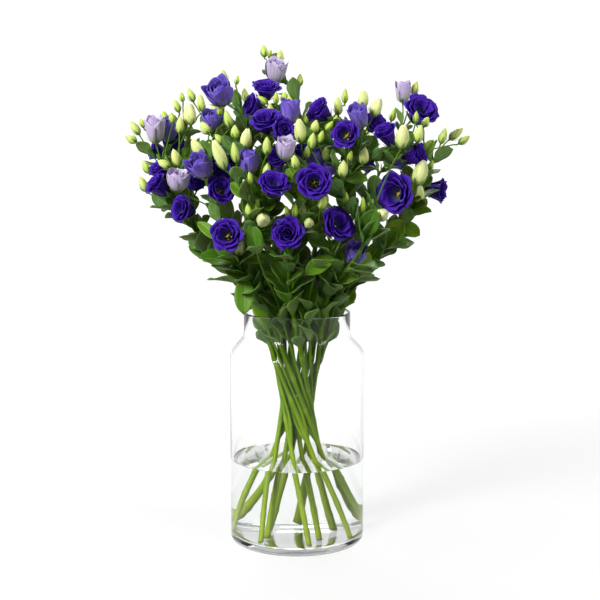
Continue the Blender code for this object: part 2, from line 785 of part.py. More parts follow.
def lay_out():
    """Every head and stem of the bunch, in its place."""
    heads = all_heads()
    stems = [Stem(index, *crown) for index, crown in enumerate(CROWNS)]
    part_heads(heads, stems)
    room = Room()
    fill_with_vase(room)
    for stem in stems:
        line = dense(stem.knots)
        line += [before.lerp(after, 0.5) for before, after in zip(line, line[1:])]
        room.fill(stem.index, line, [STALK_RADIUS] * len(line))
    share_out(heads, stems)
    for head in heads:
        room.fill(head.owner(), *head.filling(), head.place)
    carry(heads, stems, room)
    for root_across, root_down, tip_across, tip_down, width in SEEN_LEAVES:
        seen_leaf(stems, room, (root_across, root_down), (tip_across, tip_down), width / 1000)
    for stem in stems:
        path = [point for point in dense(stem.knots) if point.z > LOWEST_LEAF]
        turn = LEAF_TURN * stem.index
        index = 1
        while index < len(path) - 1:
            leaf_pair(stem, path, index, turn, room)
            turn += 0.5 * math.pi
            index += int(NODE_SPACING / STEP)
    return heads, stems


def material(name, colour, roughness, see_through=0.0):
    made = bpy.data.materials.new(name)
    made.use_nodes = True
    shader = made.node_tree.nodes["Principled BSDF"]
    shader.inputs["Base Color"].default_value = (*colour, 1.0)
    shader.inputs["Roughness"].default_value = roughness
    shader.inputs["Metallic"].default_value = 0.0
    shader.inputs["Transmission Weight"].default_value = see_through
    return made


def new_object(name, mesh, collection, look=None):
    made = bpy.data.objects.new(name, mesh)
    collection.objects.link(made)
    if look:
        mesh.materials.append(look)
    return made


def arc(centre, radius, first, last, count):
    """Points of a round stretch of a profile, between two angles in degrees."""
    points = []
    for step in range(count + 1):
        angle = math.radians(first + (last - first) * step / count)
        points.append((centre[0] + radius * math.cos(angle), centre[1] + radius * math.sin(angle)))
    return points


def shoulder(inset):
    """The S-shaped shoulder from neck to body, moved in from the outside by the inset."""
    points = []
    drop = SHOULDER_TOP - SHOULDER_FOOT
    for step in range(SHOULDER_STEPS + 1):
        share = step / SHOULDER_STEPS
        swell = 0.5 - 0.5 * math.cos(math.pi * share)
        steepness = 0.5 * math.pi * math.sin(math.pi * share) * (BODY_RADIUS - NECK_RADIUS) / drop
        size = math.hypot(1.0, steepness)
        points.append(
            (
                NECK_RADIUS + (BODY_RADIUS - NECK_RADIUS) * swell - inset / size,
                SHOULDER_TOP - drop * share - inset * steepness / size,
            )
        )
    return points


def turned(name, profile, collection, look):
    """A solid turned round the Z axis from a profile that runs down its outer side."""
    mesh = bpy.data.meshes.new(name)
    edges = [(index, index + 1) for index in range(len(profile) - 1)]
    mesh.from_pydata([(x, 0.0, z) for x, z in profile], edges, [])
    made = new_object(name, mesh, collection, look)
    screw = made.modifiers.new("turn", "SCREW")
    screw.axis = "Z"
    screw.steps = VASE_STEPS
    screw.render_steps = VASE_STEPS
    screw.use_merge_vertices = True
    screw.merge_threshold = WELD
    screw.use_smooth_shade = True
    return made


def build_vase(collection):
    inner_round = HEEL_ROUND + 0.001
    rim = 0.5 * WALL
    profile = [(0.0, FLOOR)]
    corner = (BODY_RADIUS - WALL - inner_round, FLOOR + inner_round)
    profile += arc(corner, inner_round, -90, 0, 2)
    profile += reversed(shoulder(WALL))
    profile += arc((NECK_RADIUS - rim, VASE_HEIGHT - rim), rim, 180, 0, 2)
    profile += shoulder(0.0)
    profile += arc((BODY_RADIUS - HEEL_ROUND, HEEL_ROUND), HEEL_ROUND, 0, -90, 2)
    profile += [(0.0, 0.0)]
    turned("vase", profile, collection, material("clear glass", (0.95, 0.97, 0.96), 0.02, 1.0))


def build_water(collection, cutters, stems):
    side = BODY_RADIUS - WALL - GAP
    rounding = HEEL_ROUND + 0.001
    profile = [(0.0, WATER_LEVEL), (side, WATER_LEVEL)]
    profile += arc((side - rounding, FLOOR + GAP + rounding), rounding, 0, -90, 2)
    profile += [(0.0, FLOOR + GAP)]
    water = turned("water", profile, collection, material("water", (0.93, 0.97, 0.98), 0.0, 1.0))
    holes = bpy.data.collections.new("stem holes")
    cutters.children.link(holes)
    for stem in stems:
        length = 2.0 * WATER_LEVEL
        mesh = bpy.data.meshes.new("hole")
        shape = bmesh.new()
        bmesh.ops.create_cone(
            shape,
            cap_ends=True,
            segments=HOLE_SIDES,
            radius1=STALK_RADIUS + HOLE_GAP,
            radius2=STALK_RADIUS + HOLE_GAP,
            depth=length,
        )
        shape.to_mesh(mesh)
        shape.free()
        hole = new_object("hole", mesh, holes)
        hole.location = stem.foot + stem.slope * (0.5 * WATER_LEVEL)
        hole.rotation_euler = stem.slope.to_track_quat("Z", "Y").to_euler()
        hole.hide_render = True
        hole.display_type = "WIRE"
    cut = water.modifiers.new("stem holes", "BOOLEAN")
    cut.operation = "DIFFERENCE"
    cut.solver = "EXACT"
    cut.operand_type = "COLLECTION"
    cut.collection = holes


def finished_mesh(shape, name):
    """The closed shape as a mesh with every face pointing out."""
    bmesh.ops.recalc_face_normals(shape, faces=shape.faces)
    if shape.calc_volume(signed=True) < 0.0:
        bmesh.ops.reverse_faces(shape, faces=shape.faces)
    mesh = bpy.data.meshes.new(name)
    shape.to_mesh(mesh)
    shape.free()
    return mesh


def section(sides, guides):
    """A small regular polygon of radius 1 to sweep along a stem."""
    curve = bpy.data.curves.new(f"section {sides}", "CURVE")
    line = curve.splines.new("POLY")
    line.points.add(sides - 1)
    for index, point in enumerate(line.points):
        angle = math.tau * index / sides
        point.co = (math.cos(angle), math.sin(angle), 0.0, 1.0)
    line.use_cyclic_u = True
    made = bpy.data.objects.new(f"section {sides}", curve)
    guides.objects.link(made)
    return made


def swept(points, radii, outline, collection):
    """A closed mesh of the outline swept along the points, at a radius for each."""
    curve = bpy.data.curves.new("sweep", "CURVE")
    curve.dimensions = "3D"
    curve.bevel_mode = "OBJECT"
    curve.bevel_object = outline
    curve.use_fill_caps = True
    line = curve.splines.new("POLY")
    line.points.add(len(points) - 1)
    for place, point, radius in zip(line.points, points, radii):
        place.co = (*point, 1.0)
        place.radius = radius
    guide = bpy.data.objects.new("sweep", curve)
    collection.objects.link(guide)
    depsgraph = bpy.context.evaluated_depsgraph_get()
    mesh = bpy.data.meshes.new_from_object(guide.evaluated_get(depsgraph))
    bpy.data.objects.remove(guide)
    bpy.data.curves.remove(curve)
    shape = bmesh.new()
    shape.from_mesh(mesh)
    bmesh.ops.remove_doubles(shape, verts=shape.verts, dist=WELD)
    return new_object("sweep", finished_mesh(shape, "sweep"), collection)


def flower_stalk(branch, sections, collection):
    """A flower stalk that ends in the seat of a bloom, or in a closed bud."""
    head = branch.head
    points = list(branch.knots)
    radii = list(np.linspace(BRANCH_RADIUS, PEDICEL_RADIUS, len(points)))
    if branch.carrier:
        radii[0] = TWIG_RADIUS
    if head.tint != "bud":
        points[-1] = head.base - head.axis * SEAT_LENGTH
        points.append(head.base)
        radii.append(SEAT_RADIUS)
        return swept(points, radii, sections[4], collection)
    for share, width in BUD_PROFILE:
        points.append(head.base + head.axis * (head.length * share))
        radii.append(0.5 * head.width * width)
    return swept(points, radii, sections[4], collection)


def leaf_blade(leaf, collection):
    """A closed blade lofted over a folded, arched outline, thickest at its midrib."""
    shape = bmesh.new()
    rows = [[shape.verts.new(leaf.midrib(0.0))] * 4]
    for share in LEAF_ROWS:
        middle = leaf.midrib(share)
        half = 0.5 * LEAF_THICK * leaf.upper
        corners = (leaf.point(share, -1.0), middle + half, leaf.point(share, 1.0), middle - half)
        rows.append([shape.verts.new(corner) for corner in corners])
    rows.append([shape.verts.new(leaf.midrib(1.0))] * 4)
    for lower, upper in zip(rows, rows[1:]):
        for one, two in ((0, 1), (1, 2), (2, 3), (3, 0)):
            edge, middle = (one, two) if one in (0, 2) else (two, one)
            for corners in (
                (lower[edge], upper[middle], lower[middle]),
                (lower[edge], upper[edge], upper[middle]),
            ):
                if len(set(corners)) == 3:
                    shape.faces.new(corners)
    return new_object("leaf", finished_mesh(shape, "leaf"), collection)


def bloom_solid(head, collection):
    """A bloom raised by a formula: whorls of five overlapping petals, one inside the other."""
    rings = OPEN_RINGS if head.tint == "violet" else CUP_RINGS
    samples = WIDE_SAMPLES if head.width > WIDE_BLOOM else NARROW_SAMPLES
    side = head.axis.orthogonal().normalized()
    over = head.axis.cross(side)
    shape = bmesh.new()
    loops = []
    for share, spread, lobe, turn in rings:
        loop = []
        for petal in range(PETALS):
            for sample, (swing, outward, upward) in enumerate(samples):
                angle = math.tau * (petal + turn + swing) / PETALS + BLOOM_TURN * head.place
                wave = math.sin(7.0 * petal + 3.1 * sample + 5.0 * turn + head.place)
                spread_here = spread * (1.0 + lobe * (outward + WAVE_OUTWARD * wave))
                share_here = share + lobe * (upward + WAVE_UPWARD * wave)
                out = side * math.cos(angle) + over * math.sin(angle)
                loop.append(
                    shape.verts.new(
                        head.base
                        + head.axis * (GAP + head.length * share_here)
                        + out * (0.5 * head.width * spread_here)
                    )
                )
        loops.append(loop)
    for lower, upper in zip(loops, loops[1:]):
        for index in range(len(lower)):
            after = (index + 1) % len(lower)
            shape.faces.new((lower[index], lower[after], upper[after]))
            shape.faces.new((lower[index], upper[after], upper[index]))
    throat = shape.verts.new(head.base + head.axis * (head.length * THROAT))
    for index, vert in enumerate(loops[-1]):
        shape.faces.new((vert, loops[-1][(index + 1) % len(loops[-1])], throat))
    shape.faces.new(reversed(loops[0]))
    return new_object("bloom", finished_mesh(shape, "bloom"), collection)


def fuse(base, pieces, solver):
    """Joins the pieces to the base as one closed body, then removes them."""
    if pieces.objects:
        union = base.modifiers.new("fuse", "BOOLEAN")
        union.operation = "UNION"
        union.solver = solver
        union.operand_type = "COLLECTION"
        union.collection = pieces
        depsgraph = bpy.context.evaluated_depsgraph_get()
        fused = bpy.data.meshes.new_from_object(base.evaluated_get(depsgraph))
        base.modifiers.clear()
        base.data = fused
    for piece in list(pieces.objects):
        bpy.data.objects.remove(piece)
    bpy.data.collections.remove(pieces)
    keep_outer_body(base.data)


def keep_outer_body(mesh):
    """Fills sealed hollows and drops loose scraps: only the largest shell stays."""
    shape = bmesh.new()
    shape.from_mesh(mesh)
    unseen = set(shape.verts)
    shells = []
    while unseen:
        shell = set()
        edge = [unseen.pop()]
        while edge:
            vert = edge.pop()
            shell.add(vert)
            for link in vert.link_edges:
                other = link.other_vert(vert)
                if other in unseen:
                    unseen.discard(other)
                    edge.append(other)
        shells.append(shell)
    largest = max(shells, key=len)
    loose = [vert for shell in shells if shell is not largest for vert in shell]
    bmesh.ops.delete(shape, geom=loose, context="VERTS")
    shape.to_mesh(mesh)
    shape.free()


def build_stem(stem, sections, collection, look):
    pieces = bpy.data.collections.new("pieces")
    collection.children.link(pieces)
    radii = np.linspace(STALK_RADIUS, CROWN_RADIUS, len(stem.knots))
    radii[:2] = STALK_RADIUS
    stalk = swept(stem.knots, radii, sections[5], collection)
    stalk.name = f"stem_{stem.index + 1:02d}"
    stalk.data.materials.append(look)
    kept = set()
    for branch in stem.branches:
        carrier = branch if branch.head.width > LEAST_BUD else None
        while carrier:
            kept.add(carrier)
            carrier = carrier.carrier
    for branch in stem.branches:
        if branch in kept:
            flower_stalk(branch, sections, pieces)
    for leaf in stem.leaves:
        leaf_blade(leaf, pieces)
    fuse(stalk, pieces, "EXACT")


def build_bloom(index, heads, collection, looks):
    pieces = bpy.data.collections.new("pieces")
    collection.children.link(pieces)
    first, *others = heads
    bloom = bloom_solid(first, collection)
    bloom.name = f"bloom_{index + 1:02d}"
    bloom.data.materials.append(looks[first.tint])
    for head in others:
        bloom_solid(head, pieces)
    fuse(bloom, pieces, "MANIFOLD")


def main():
    for leftover in list(bpy.data.objects):
        bpy.data.objects.remove(leftover)
    scene = bpy.context.scene.collection
    collection = bpy.data.collections.new("lisianthus")
    cutters = bpy.data.collections.new("cutters")
    guides = bpy.data.collections.new("guides")
    for made in (collection, cutters, guides):
        scene.children.link(made)
    cutters.hide_render = True
    heads, stems = lay_out()
    build_vase(collection)
    build_water(collection, cutters, stems)
    sections = {sides: section(sides, guides) for sides in (4, 5)}
    green = material("stem green", (0.16, 0.33, 0.07), 0.5)
    for stem in stems:
        build_stem(stem, sections, collection, green)
    looks = {
        "violet": material("violet petal", (0.11, 0.02, 0.42), 0.6),
        "lavender": material("lavender petal", (0.36, 0.30, 0.75), 0.6),
        "pale": material("pale petal", (0.72, 0.66, 0.80), 0.6),
    }
    for index in range(len(BLOOMS)):
        members = [head for head in heads if head.group == index]
        build_bloom(index, members, collection, looks)
    for outline in sections.values():
        bpy.data.objects.remove(outline)
    bpy.data.collections.remove(guides)


main()
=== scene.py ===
import math

import bmesh
import bpy
import numpy as np
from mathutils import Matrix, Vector
from numpy.polynomial import polynomial


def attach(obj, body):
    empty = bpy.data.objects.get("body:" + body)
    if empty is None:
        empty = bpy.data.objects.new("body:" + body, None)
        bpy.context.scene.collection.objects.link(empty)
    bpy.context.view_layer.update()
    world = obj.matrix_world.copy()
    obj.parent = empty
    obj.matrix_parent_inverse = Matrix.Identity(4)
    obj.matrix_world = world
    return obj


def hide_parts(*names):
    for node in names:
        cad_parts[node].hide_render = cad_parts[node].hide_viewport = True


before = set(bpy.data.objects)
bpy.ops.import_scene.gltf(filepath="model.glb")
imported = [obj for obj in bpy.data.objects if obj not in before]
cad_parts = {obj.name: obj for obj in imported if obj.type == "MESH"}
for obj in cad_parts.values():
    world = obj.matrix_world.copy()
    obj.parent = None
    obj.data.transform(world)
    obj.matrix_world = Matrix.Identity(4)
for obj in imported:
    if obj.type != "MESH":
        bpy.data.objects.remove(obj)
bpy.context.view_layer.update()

# The camera stands where the photographer did, a little above the blooms and tipped down at the
# vase. Its place and tilt come from the ellipses of the rim, the water and the foot, and the same
# numbers turn a pixel of the 600 x 600 picture into a place in the bunch further down.
PICTURE_CENTRE = 300.0
LENS_PIXELS = 1309.0
LENS = Vector((0.0044, -1.920, 0.625))
LENS_TILT = math.radians(7.81)
SENSOR_WIDTH = 36.0

scene = bpy.context.scene
camera = bpy.data.objects.new("camera", bpy.data.cameras.new("camera"))
camera.data.sensor_width = SENSOR_WIDTH
camera.data.lens = SENSOR_WIDTH * LENS_PIXELS / (2.0 * PICTURE_CENTRE)
camera.data.clip_end = 200.0
camera.location = LENS
camera.rotation_euler = (0.5 * math.pi - LENS_TILT, 0.0, 0.0)
scene.collection.objects.link(camera)
scene.camera = camera
scene.view_settings.view_transform = "Standard"


# The light is a white studio: soft boxes high at the front left, weaker at the right and behind
# the blooms, in a white room. The room is brighter to the eye than to the leaves, so that the
# gaps among them stay deep, and light may turn often enough in the glass to find its way out.
LIT_PLACE = Vector((0.0, 0.0, 0.45))
ROOM_IN_GLASS = 0.85
ROOM_SEEN = 1.05
ROOM_ON_LEAVES = 0.22
TURNS_IN_GLASS = 32


def soft_box(name, place, size, power):
    light = bpy.data.lights.new(name, "AREA")
    light.shape = "RECTANGLE"
    light.size, light.size_y = size
    light.energy = power
    box = bpy.data.objects.new(name, light)
    box.location = place
    box.rotation_euler = (LIT_PLACE - Vector(place)).to_track_quat("-Z", "Y").to_euler()
    scene.collection.objects.link(box)


soft_box("key light", (-1.5, -1.6, 1.7), (0.7, 1.0), 72.0)
soft_box("side light", (1.7, -0.9, 1.3), (0.5, 1.2), 14.0)
soft_box("back light", (-0.3, 1.5, 1.9), (1.6, 0.8), 26.0)

room_light = bpy.data.worlds.new("white room")
room_light.use_nodes = True
room_nodes = room_light.node_tree
backdrop = room_nodes.nodes["Background"]
backdrop.inputs["Color"].default_value = (1.0, 1.0, 1.0, 1.0)
seen_by = room_nodes.nodes.new("ShaderNodeLightPath")
strength = None
for kind, strong in (("Is Camera Ray", ROOM_SEEN), ("Is Diffuse Ray", ROOM_ON_LEAVES)):
    dimmed = room_nodes.nodes.new("ShaderNodeMapRange")
    dimmed.inputs["To Min"].default_value = ROOM_IN_GLASS
    dimmed.inputs["To Max"].default_value = strong
    room_nodes.links.new(seen_by.outputs[kind], dimmed.inputs["Value"])
    if strength:
        room_nodes.links.new(strength, dimmed.inputs["To Min"])
    strength = dimmed.outputs["Result"]
room_nodes.links.new(strength, backdrop.inputs["Strength"])
scene.world = room_light
scene.cycles.max_bounces = TURNS_IN_GLASS
scene.cycles.transmission_bounces = TURNS_IN_GLASS


# Every finish is a Principled material. Number wraps a value in its nodes, so that sums on it can
# be written out, and Finish.node makes any other node.
class Number:
    def __init__(self, finish, socket):
        self.finish = finish
        self.socket = socket

    def math(self, operation, first, second):
        return self.finish.node("Math", {"operation": operation}, {0: first, 1: second})

    def __add__(self, other):
        return self.math("ADD", self, other)

    def __sub__(self, other):
        return self.math("SUBTRACT", self, other)

    def __rsub__(self, other):
        return self.math("SUBTRACT", other, self)

    def __mul__(self, other):
        return self.math("MULTIPLY", self, other)

    def __pow__(self, other):
        return self.math("POWER", self, other)

    __radd__ = __add__
    __rmul__ = __mul__


class Finish:
    """A material being made. Its nodes give Number values, or links for colours and vectors."""

    def __init__(self, name, roughness, **steady):
        self.material = bpy.data.materials.new(name)
        self.material.use_nodes = True
        self.tree = self.material.node_tree
        self.shader = self.tree.nodes["Principled BSDF"]
        self.shader.inputs["Roughness"].default_value = roughness
        for socket, value in steady.items():
            self.shader.inputs[socket.replace("_", " ")].default_value = value

    def join(self, source, socket):
        if isinstance(source, Number):
            source = source.socket
        if isinstance(source, bpy.types.NodeSocket):
            self.tree.links.new(source, socket)
        elif isinstance(source, tuple) and socket.type == "RGBA":
            socket.default_value = (*source, 1.0)
        else:
            socket.default_value = source

    def node(self, kind, settings, sockets, output=0):
        made = self.tree.nodes.new("ShaderNode" + kind)
        for name, value in settings.items():
            if name == "stops":
                ramp = made.color_ramp
                ramp.elements.remove(ramp.elements[1])
                for index, (place, colour) in enumerate(value):
                    stop = ramp.elements[0] if index == 0 else ramp.elements.new(place)
                    stop.position = place
                    stop.color = (*colour, 1.0)
            else:
                setattr(made, name, value)
        for name, value in sockets.items():
            self.join(value, made.inputs[name])
        return Number(self, made.outputs[output])

    def ramp(self, value, *stops):
        return self.node("ValToRGB", {"stops": stops}, {"Fac": value})

    def blend(self, share, first, second):
        sockets = {"Factor": share, 6: first, 7: second}
        return self.node("Mix", {"data_type": "RGBA"}, sockets, 2)

    def value(self, name):
        """A value that the mesh carries, such as how far along its petal a point lies."""
        return self.node("Attribute", {"attribute_name": name}, {}, 2)

    def at(self, x, y, z):
        return self.node("CombineXYZ", {}, {0: x, 1: y, 2: z})

    def noise(self, place, scale, detail=2.0):
        return self.node("TexNoise", {}, {"Vector": place, "Scale": scale, "Detail": detail})

    def colour(self, colour):
        self.join(colour, self.shader.inputs["Base Color"])

    def swallow(self, colour, density):
        """Light fades inside the body by the length of its way."""
        body = self.node("VolumeAbsorption", {}, {"Color": colour, "Density": density})
        self.join(body, self.tree.nodes["Material Output"].inputs["Volume"])

    def roughness(self, value):
        self.join(value, self.shader.inputs["Roughness"])

    def relief(self, height, depth):
        bump = self.node("Bump", {}, {"Height": height, "Strength": 1.0, "Distance": depth})
        self.join(bump, self.shader.inputs["Normal"])


# The floor is a plain white sheet, bright enough to run into the white room behind it. It lies a
# hair below the vase, so that the two don't touch.
def floor_finish():
    white = Finish("white floor", 0.8, Specular_IOR_Level=0.1, Emission_Strength=1.0)
    place = white.node("TexCoord", {}, {}, 3)
    away = white.node("VectorMath", {"operation": "LENGTH"}, {0: place}, 1)
    white.colour((0.26, 0.26, 0.26))
    glow = white.ramp(away * 0.25, (0.05, (0.66,) * 3), (0.5, (0.90,) * 3), (1.0, (1.0,) * 3))
    white.join(glow, white.shader.inputs["Emission Color"])
    return white.material


FLOOR_RADIUS = 40.0
UNDER_VASE = 0.0004
sheet = bmesh.new()
bmesh.ops.create_circle(sheet, cap_ends=True, segments=96, radius=FLOOR_RADIUS)
floor = bpy.data.objects.new("floor", bpy.data.meshes.new("floor"))
sheet.to_mesh(floor.data)
sheet.free()
floor.location.z = -UNDER_VASE
floor.data.materials.append(floor_finish())
scene.collection.objects.link(floor)
floor.visible_diffuse = False


# The vase is one blown and pressed piece of clear glass: a straight body, a short S-shaped shoulder
# and a straight neck with a melted, rounded rim. Its floor is thick, and the wall is not quite even.
VASE_HEIGHT = 0.345
BODY_RADIUS = 0.100
NECK_RADIUS = 0.0792
WALL = 0.004
FLOOR = 0.010
SHOULDER_TOP = 0.3145
SHOULDER_FOOT = 0.2805
HEEL_ROUND = 0.007
INNER_ROUND = HEEL_ROUND + 0.001
FLAT_RADIUS = 0.05
ARC_STEPS = 8
SHOULDER_STEPS = 22
TURNING_STEPS = 144


def arc(centre, radius, first, last):
    """Points of a round stretch of a profile, between two angles in degrees."""
    points = []
    for step in range(ARC_STEPS + 1):
        angle = math.radians(first + (last - first) * step / ARC_STEPS)
        points.append((centre[0] + radius * math.cos(angle), centre[1] + radius * math.sin(angle)))
    return points


def shoulder(inset):
    """The S-shaped shoulder from neck to body, moved in from the outside by the inset."""
    points = []
    drop = SHOULDER_TOP - SHOULDER_FOOT
    for step in range(SHOULDER_STEPS + 1):
        share = step / SHOULDER_STEPS
        swell = 0.5 - 0.5 * math.cos(math.pi * share)
        steepness = 0.5 * math.pi * math.sin(math.pi * share) * (BODY_RADIUS - NECK_RADIUS) / drop
        size = math.hypot(1.0, steepness)
        out = NECK_RADIUS + (BODY_RADIUS - NECK_RADIUS) * swell - inset / size
        points.append((out, SHOULDER_TOP - drop * share - inset * steepness / size))
    return points


def turned(name, profile, finish):
    """A solid turned round the Z axis from a profile that runs down its outer side."""
    mesh = bpy.data.meshes.new(name)
    edges = [(index, index + 1) for index in range(len(profile) - 1)]
    mesh.from_pydata([(x, 0.0, z) for x, z in profile], edges, [])
    made = bpy.data.objects.new(name, mesh)
    scene.collection.objects.link(made)
    screw = made.modifiers.new("turn", "SCREW")
    screw.axis = "Z"
    screw.steps = TURNING_STEPS
    screw.render_steps = TURNING_STEPS
    screw.use_merge_vertices = True
    screw.merge_threshold = 0.00002
    screw.use_smooth_shade = True
    made.data = bpy.data.meshes.new_from_object(
        made.evaluated_get(bpy.context.evaluated_depsgraph_get())
    )
    made.modifiers.clear()
    made.data.name = name
    made.data.materials.clear()
    made.data.materials.append(finish.material)
    made.data.set_sharp_from_angle(angle=math.radians(50))
    return made


def vase_finish():
    glass = Finish("clear glass", 0.0, Transmission_Weight=1.0, IOR=1.50)
    glass.shader.inputs["Specular Tint"].default_value = (0.2, 0.2, 0.2, 1.0)
    glass.colour((1.0, 1.0, 1.0))
    glass.swallow((0.50, 0.55, 0.53), 3.0)
    place = glass.node("TexCoord", {}, {}, 3)
    long_waves = glass.node("Mapping", {}, {"Vector": place, "Scale": (14.0, 14.0, 5.0)})
    glass.relief(glass.noise(long_waves, 1.0, 1.0), 0.0006)
    return glass


def let_light_by(clear):
    """Clear things cast no shade on the stems, the water or the floor."""
    clear.visible_shadow = False
    clear.visible_diffuse = False


rim = 0.5 * WALL
inner_corner = (BODY_RADIUS - WALL - INNER_ROUND, FLOOR + INNER_ROUND)
outside = [(0.0, FLOOR), (FLAT_RADIUS, FLOOR), *arc(inner_corner, INNER_ROUND, -90, 0)]
outside += [*reversed(shoulder(WALL)), *arc((NECK_RADIUS - rim, VASE_HEIGHT - rim), rim, 180, 0)]
outside += [*shoulder(0.0), *arc((BODY_RADIUS - HEEL_ROUND, HEEL_ROUND), HEEL_ROUND, 0, -90)]
outside += [(FLAT_RADIUS, 0.0), (0.0, 0.0)]
vase = turned("glass_vase", outside, vase_finish())
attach(vase, "root")
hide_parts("vase")
let_light_by(vase)


# The water fills the vase by a third. It clings to the glass, so its skin is in the wall by a hair
# and climbs a little at the edge, and its surface is almost still.
WATER_LEVEL = 0.124
CLIMB = 0.0016
CLIMB_WIDTH = 0.006
IN_WALL = 0.0003


def water_finish():
    water = Finish("water", 0.0, Transmission_Weight=1.0, IOR=1.333)
    water.colour((1.0, 1.0, 1.0))
    water.swallow((0.70, 0.85, 0.80), 0.8)
    place = water.node("TexCoord", {}, {}, 3)
    water.relief(water.noise(place, 22.0, 1.0), 0.0005)
    return water


side = BODY_RADIUS - WALL + IN_WALL
bottom = FLOOR - IN_WALL
foot_corner = (side - INNER_ROUND, bottom + INNER_ROUND)
surface = [(0.0, WATER_LEVEL), (FLAT_RADIUS, WATER_LEVEL)]
for share in (step / 8 for step in range(9)):
    surface.append((side - CLIMB_WIDTH * (1.0 - share), WATER_LEVEL + CLIMB * share**3))
surface += arc(foot_corner, INNER_ROUND, 0, -90)
surface += [(FLAT_RADIUS, bottom), (0.0, bottom)]
water = turned("still_water", surface, water_finish())
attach(water, "root")
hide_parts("water")
let_light_by(water)


# Twelve cut stems stand in the water, crossing in the neck, and carry every leaf, bud and bloom.
# The layout below is the one the solids were made by: each head lies where the picture shows it,
# and its stem, branches and leaves keep clear of all the others.

# Opened blooms: pixel across and down, layers behind the bunch's front, diameter and length in
# mm, the way it faces (degrees to the right of the front, degrees up) and its tint: V, L or P.
# Blooms in one inner list have grown into each other and are one solid.
V, L, P = "violet", "lavender", "pale"
BLOOMS = (
    [(220, 94, 1.0, 38, 36, -25, 50, L)],
    [(266, 92, 2.2, 42, 26, 10, 62, V)],
    [(256, 107, 2.0, 34, 28, -60, 20, V)],
    [(290, 112, 0.6, 25, 34, 5, 78, L)],
    [(276, 71, 2.6, 30, 34, 15, 66, P)],
    [(322, 113, 1.2, 40, 28, -60, 35, V)],
    [(266, 125, 1.0, 42, 30, -20, 50, V)],
    [(281, 133, 0.8, 38, 28, 40, 20, V)],
    [(212, 121, 2.2, 30, 28, 20, 60, L)],
    [(155, 130, 1.0, 26, 38, -10, 78, P)],
    [(168, 131, 2.0, 28, 30, 30, 68, L)],
    [(173, 146, 2.4, 34, 24, 20, 40, V)],
    [(159, 152, 2.6, 30, 26, -70, 20, V)],
    [(201, 167, 0.3, 33, 33, -45, 45, L)],
    [(161, 188, 0.4, 34, 34, -60, 40, V), (161, 172, 0.9, 28, 26, -50, 40, V)],
    [(178, 181, 0.0, 30, 28, 10, 70, P)],
    [(186, 210, 0.4, 38, 30, -45, 12, V)],
    [(219, 192, 0.3, 42, 28, 25, 25, V), (220, 173, 0.8, 32, 26, 20, 30, V)],
    [(198, 182, 2.0, 34, 26, -10, 20, V)],
    [(232, 164, 2.0, 30, 34, 30, 50, V)],
    [(248, 163, 0.5, 26, 33, -5, 78, L)],
    [(273, 188, 0.0, 44, 32, 15, 45, V)],
    [(314, 183, 0.0, 46, 30, 0, 12, V)],
    [(288, 234, 0.0, 47, 30, -5, 10, V)],
    [(228, 236, 0.0, 45, 30, -12, 8, V)],
    [(334, 227, 0.0, 50, 32, 40, 25, V)],
    [(354, 255, 0.0, 30, 34, 25, 50, L)],
    [(399, 194, 0.3, 56, 34, -38, 5, V)],
    [(434, 190, 1.5, 38, 34, 75, -5, V)],
    [(412, 156, 1.1, 34, 36, 60, 20, V)],
    [(388, 137, 1.0, 32, 36, -40, 50, V)],
    [(419, 114, 1.5, 54, 32, 25, 40, V)],
    [(403, 92, 2.0, 22, 32, 0, 84, P)],
    [(347, 136, 0.5, 40, 28, -20, 15, V)],
    [(359, 117, 1.6, 26, 34, -30, 60, L)],
    [(373, 125, 2.6, 32, 28, 20, 30, V)],
    [(286, 149, 0.2, 25, 30, 5, 65, P)],
    [(280, 158, 1.6, 32, 28, -30, 20, V)],
    [(314, 159, 1.0, 22, 26, 0, 70, L)],
    [(328, 168, 1.0, 24, 26, 20, 50, L)],
    [(303, 156, 2.4, 30, 30, -20, 60, V)],
    [(230, 150, 5.3, 44, 30, 205, 24, V), (221, 163, 5.3, 40, 30, 215, 6, V)],
    [(270, 166, 5.8, 46, 30, 178, 14, V), (286, 180, 5.8, 42, 30, 170, 6, V)],
    [(345, 176, 5.6, 46, 30, 150, 15, V), (361, 163, 5.6, 40, 30, 140, 24, V)],
    [(392, 160, 5.0, 42, 30, 130, 25, V)],
    [(318, 138, 5.6, 28, 34, 165, 62, L)],
)

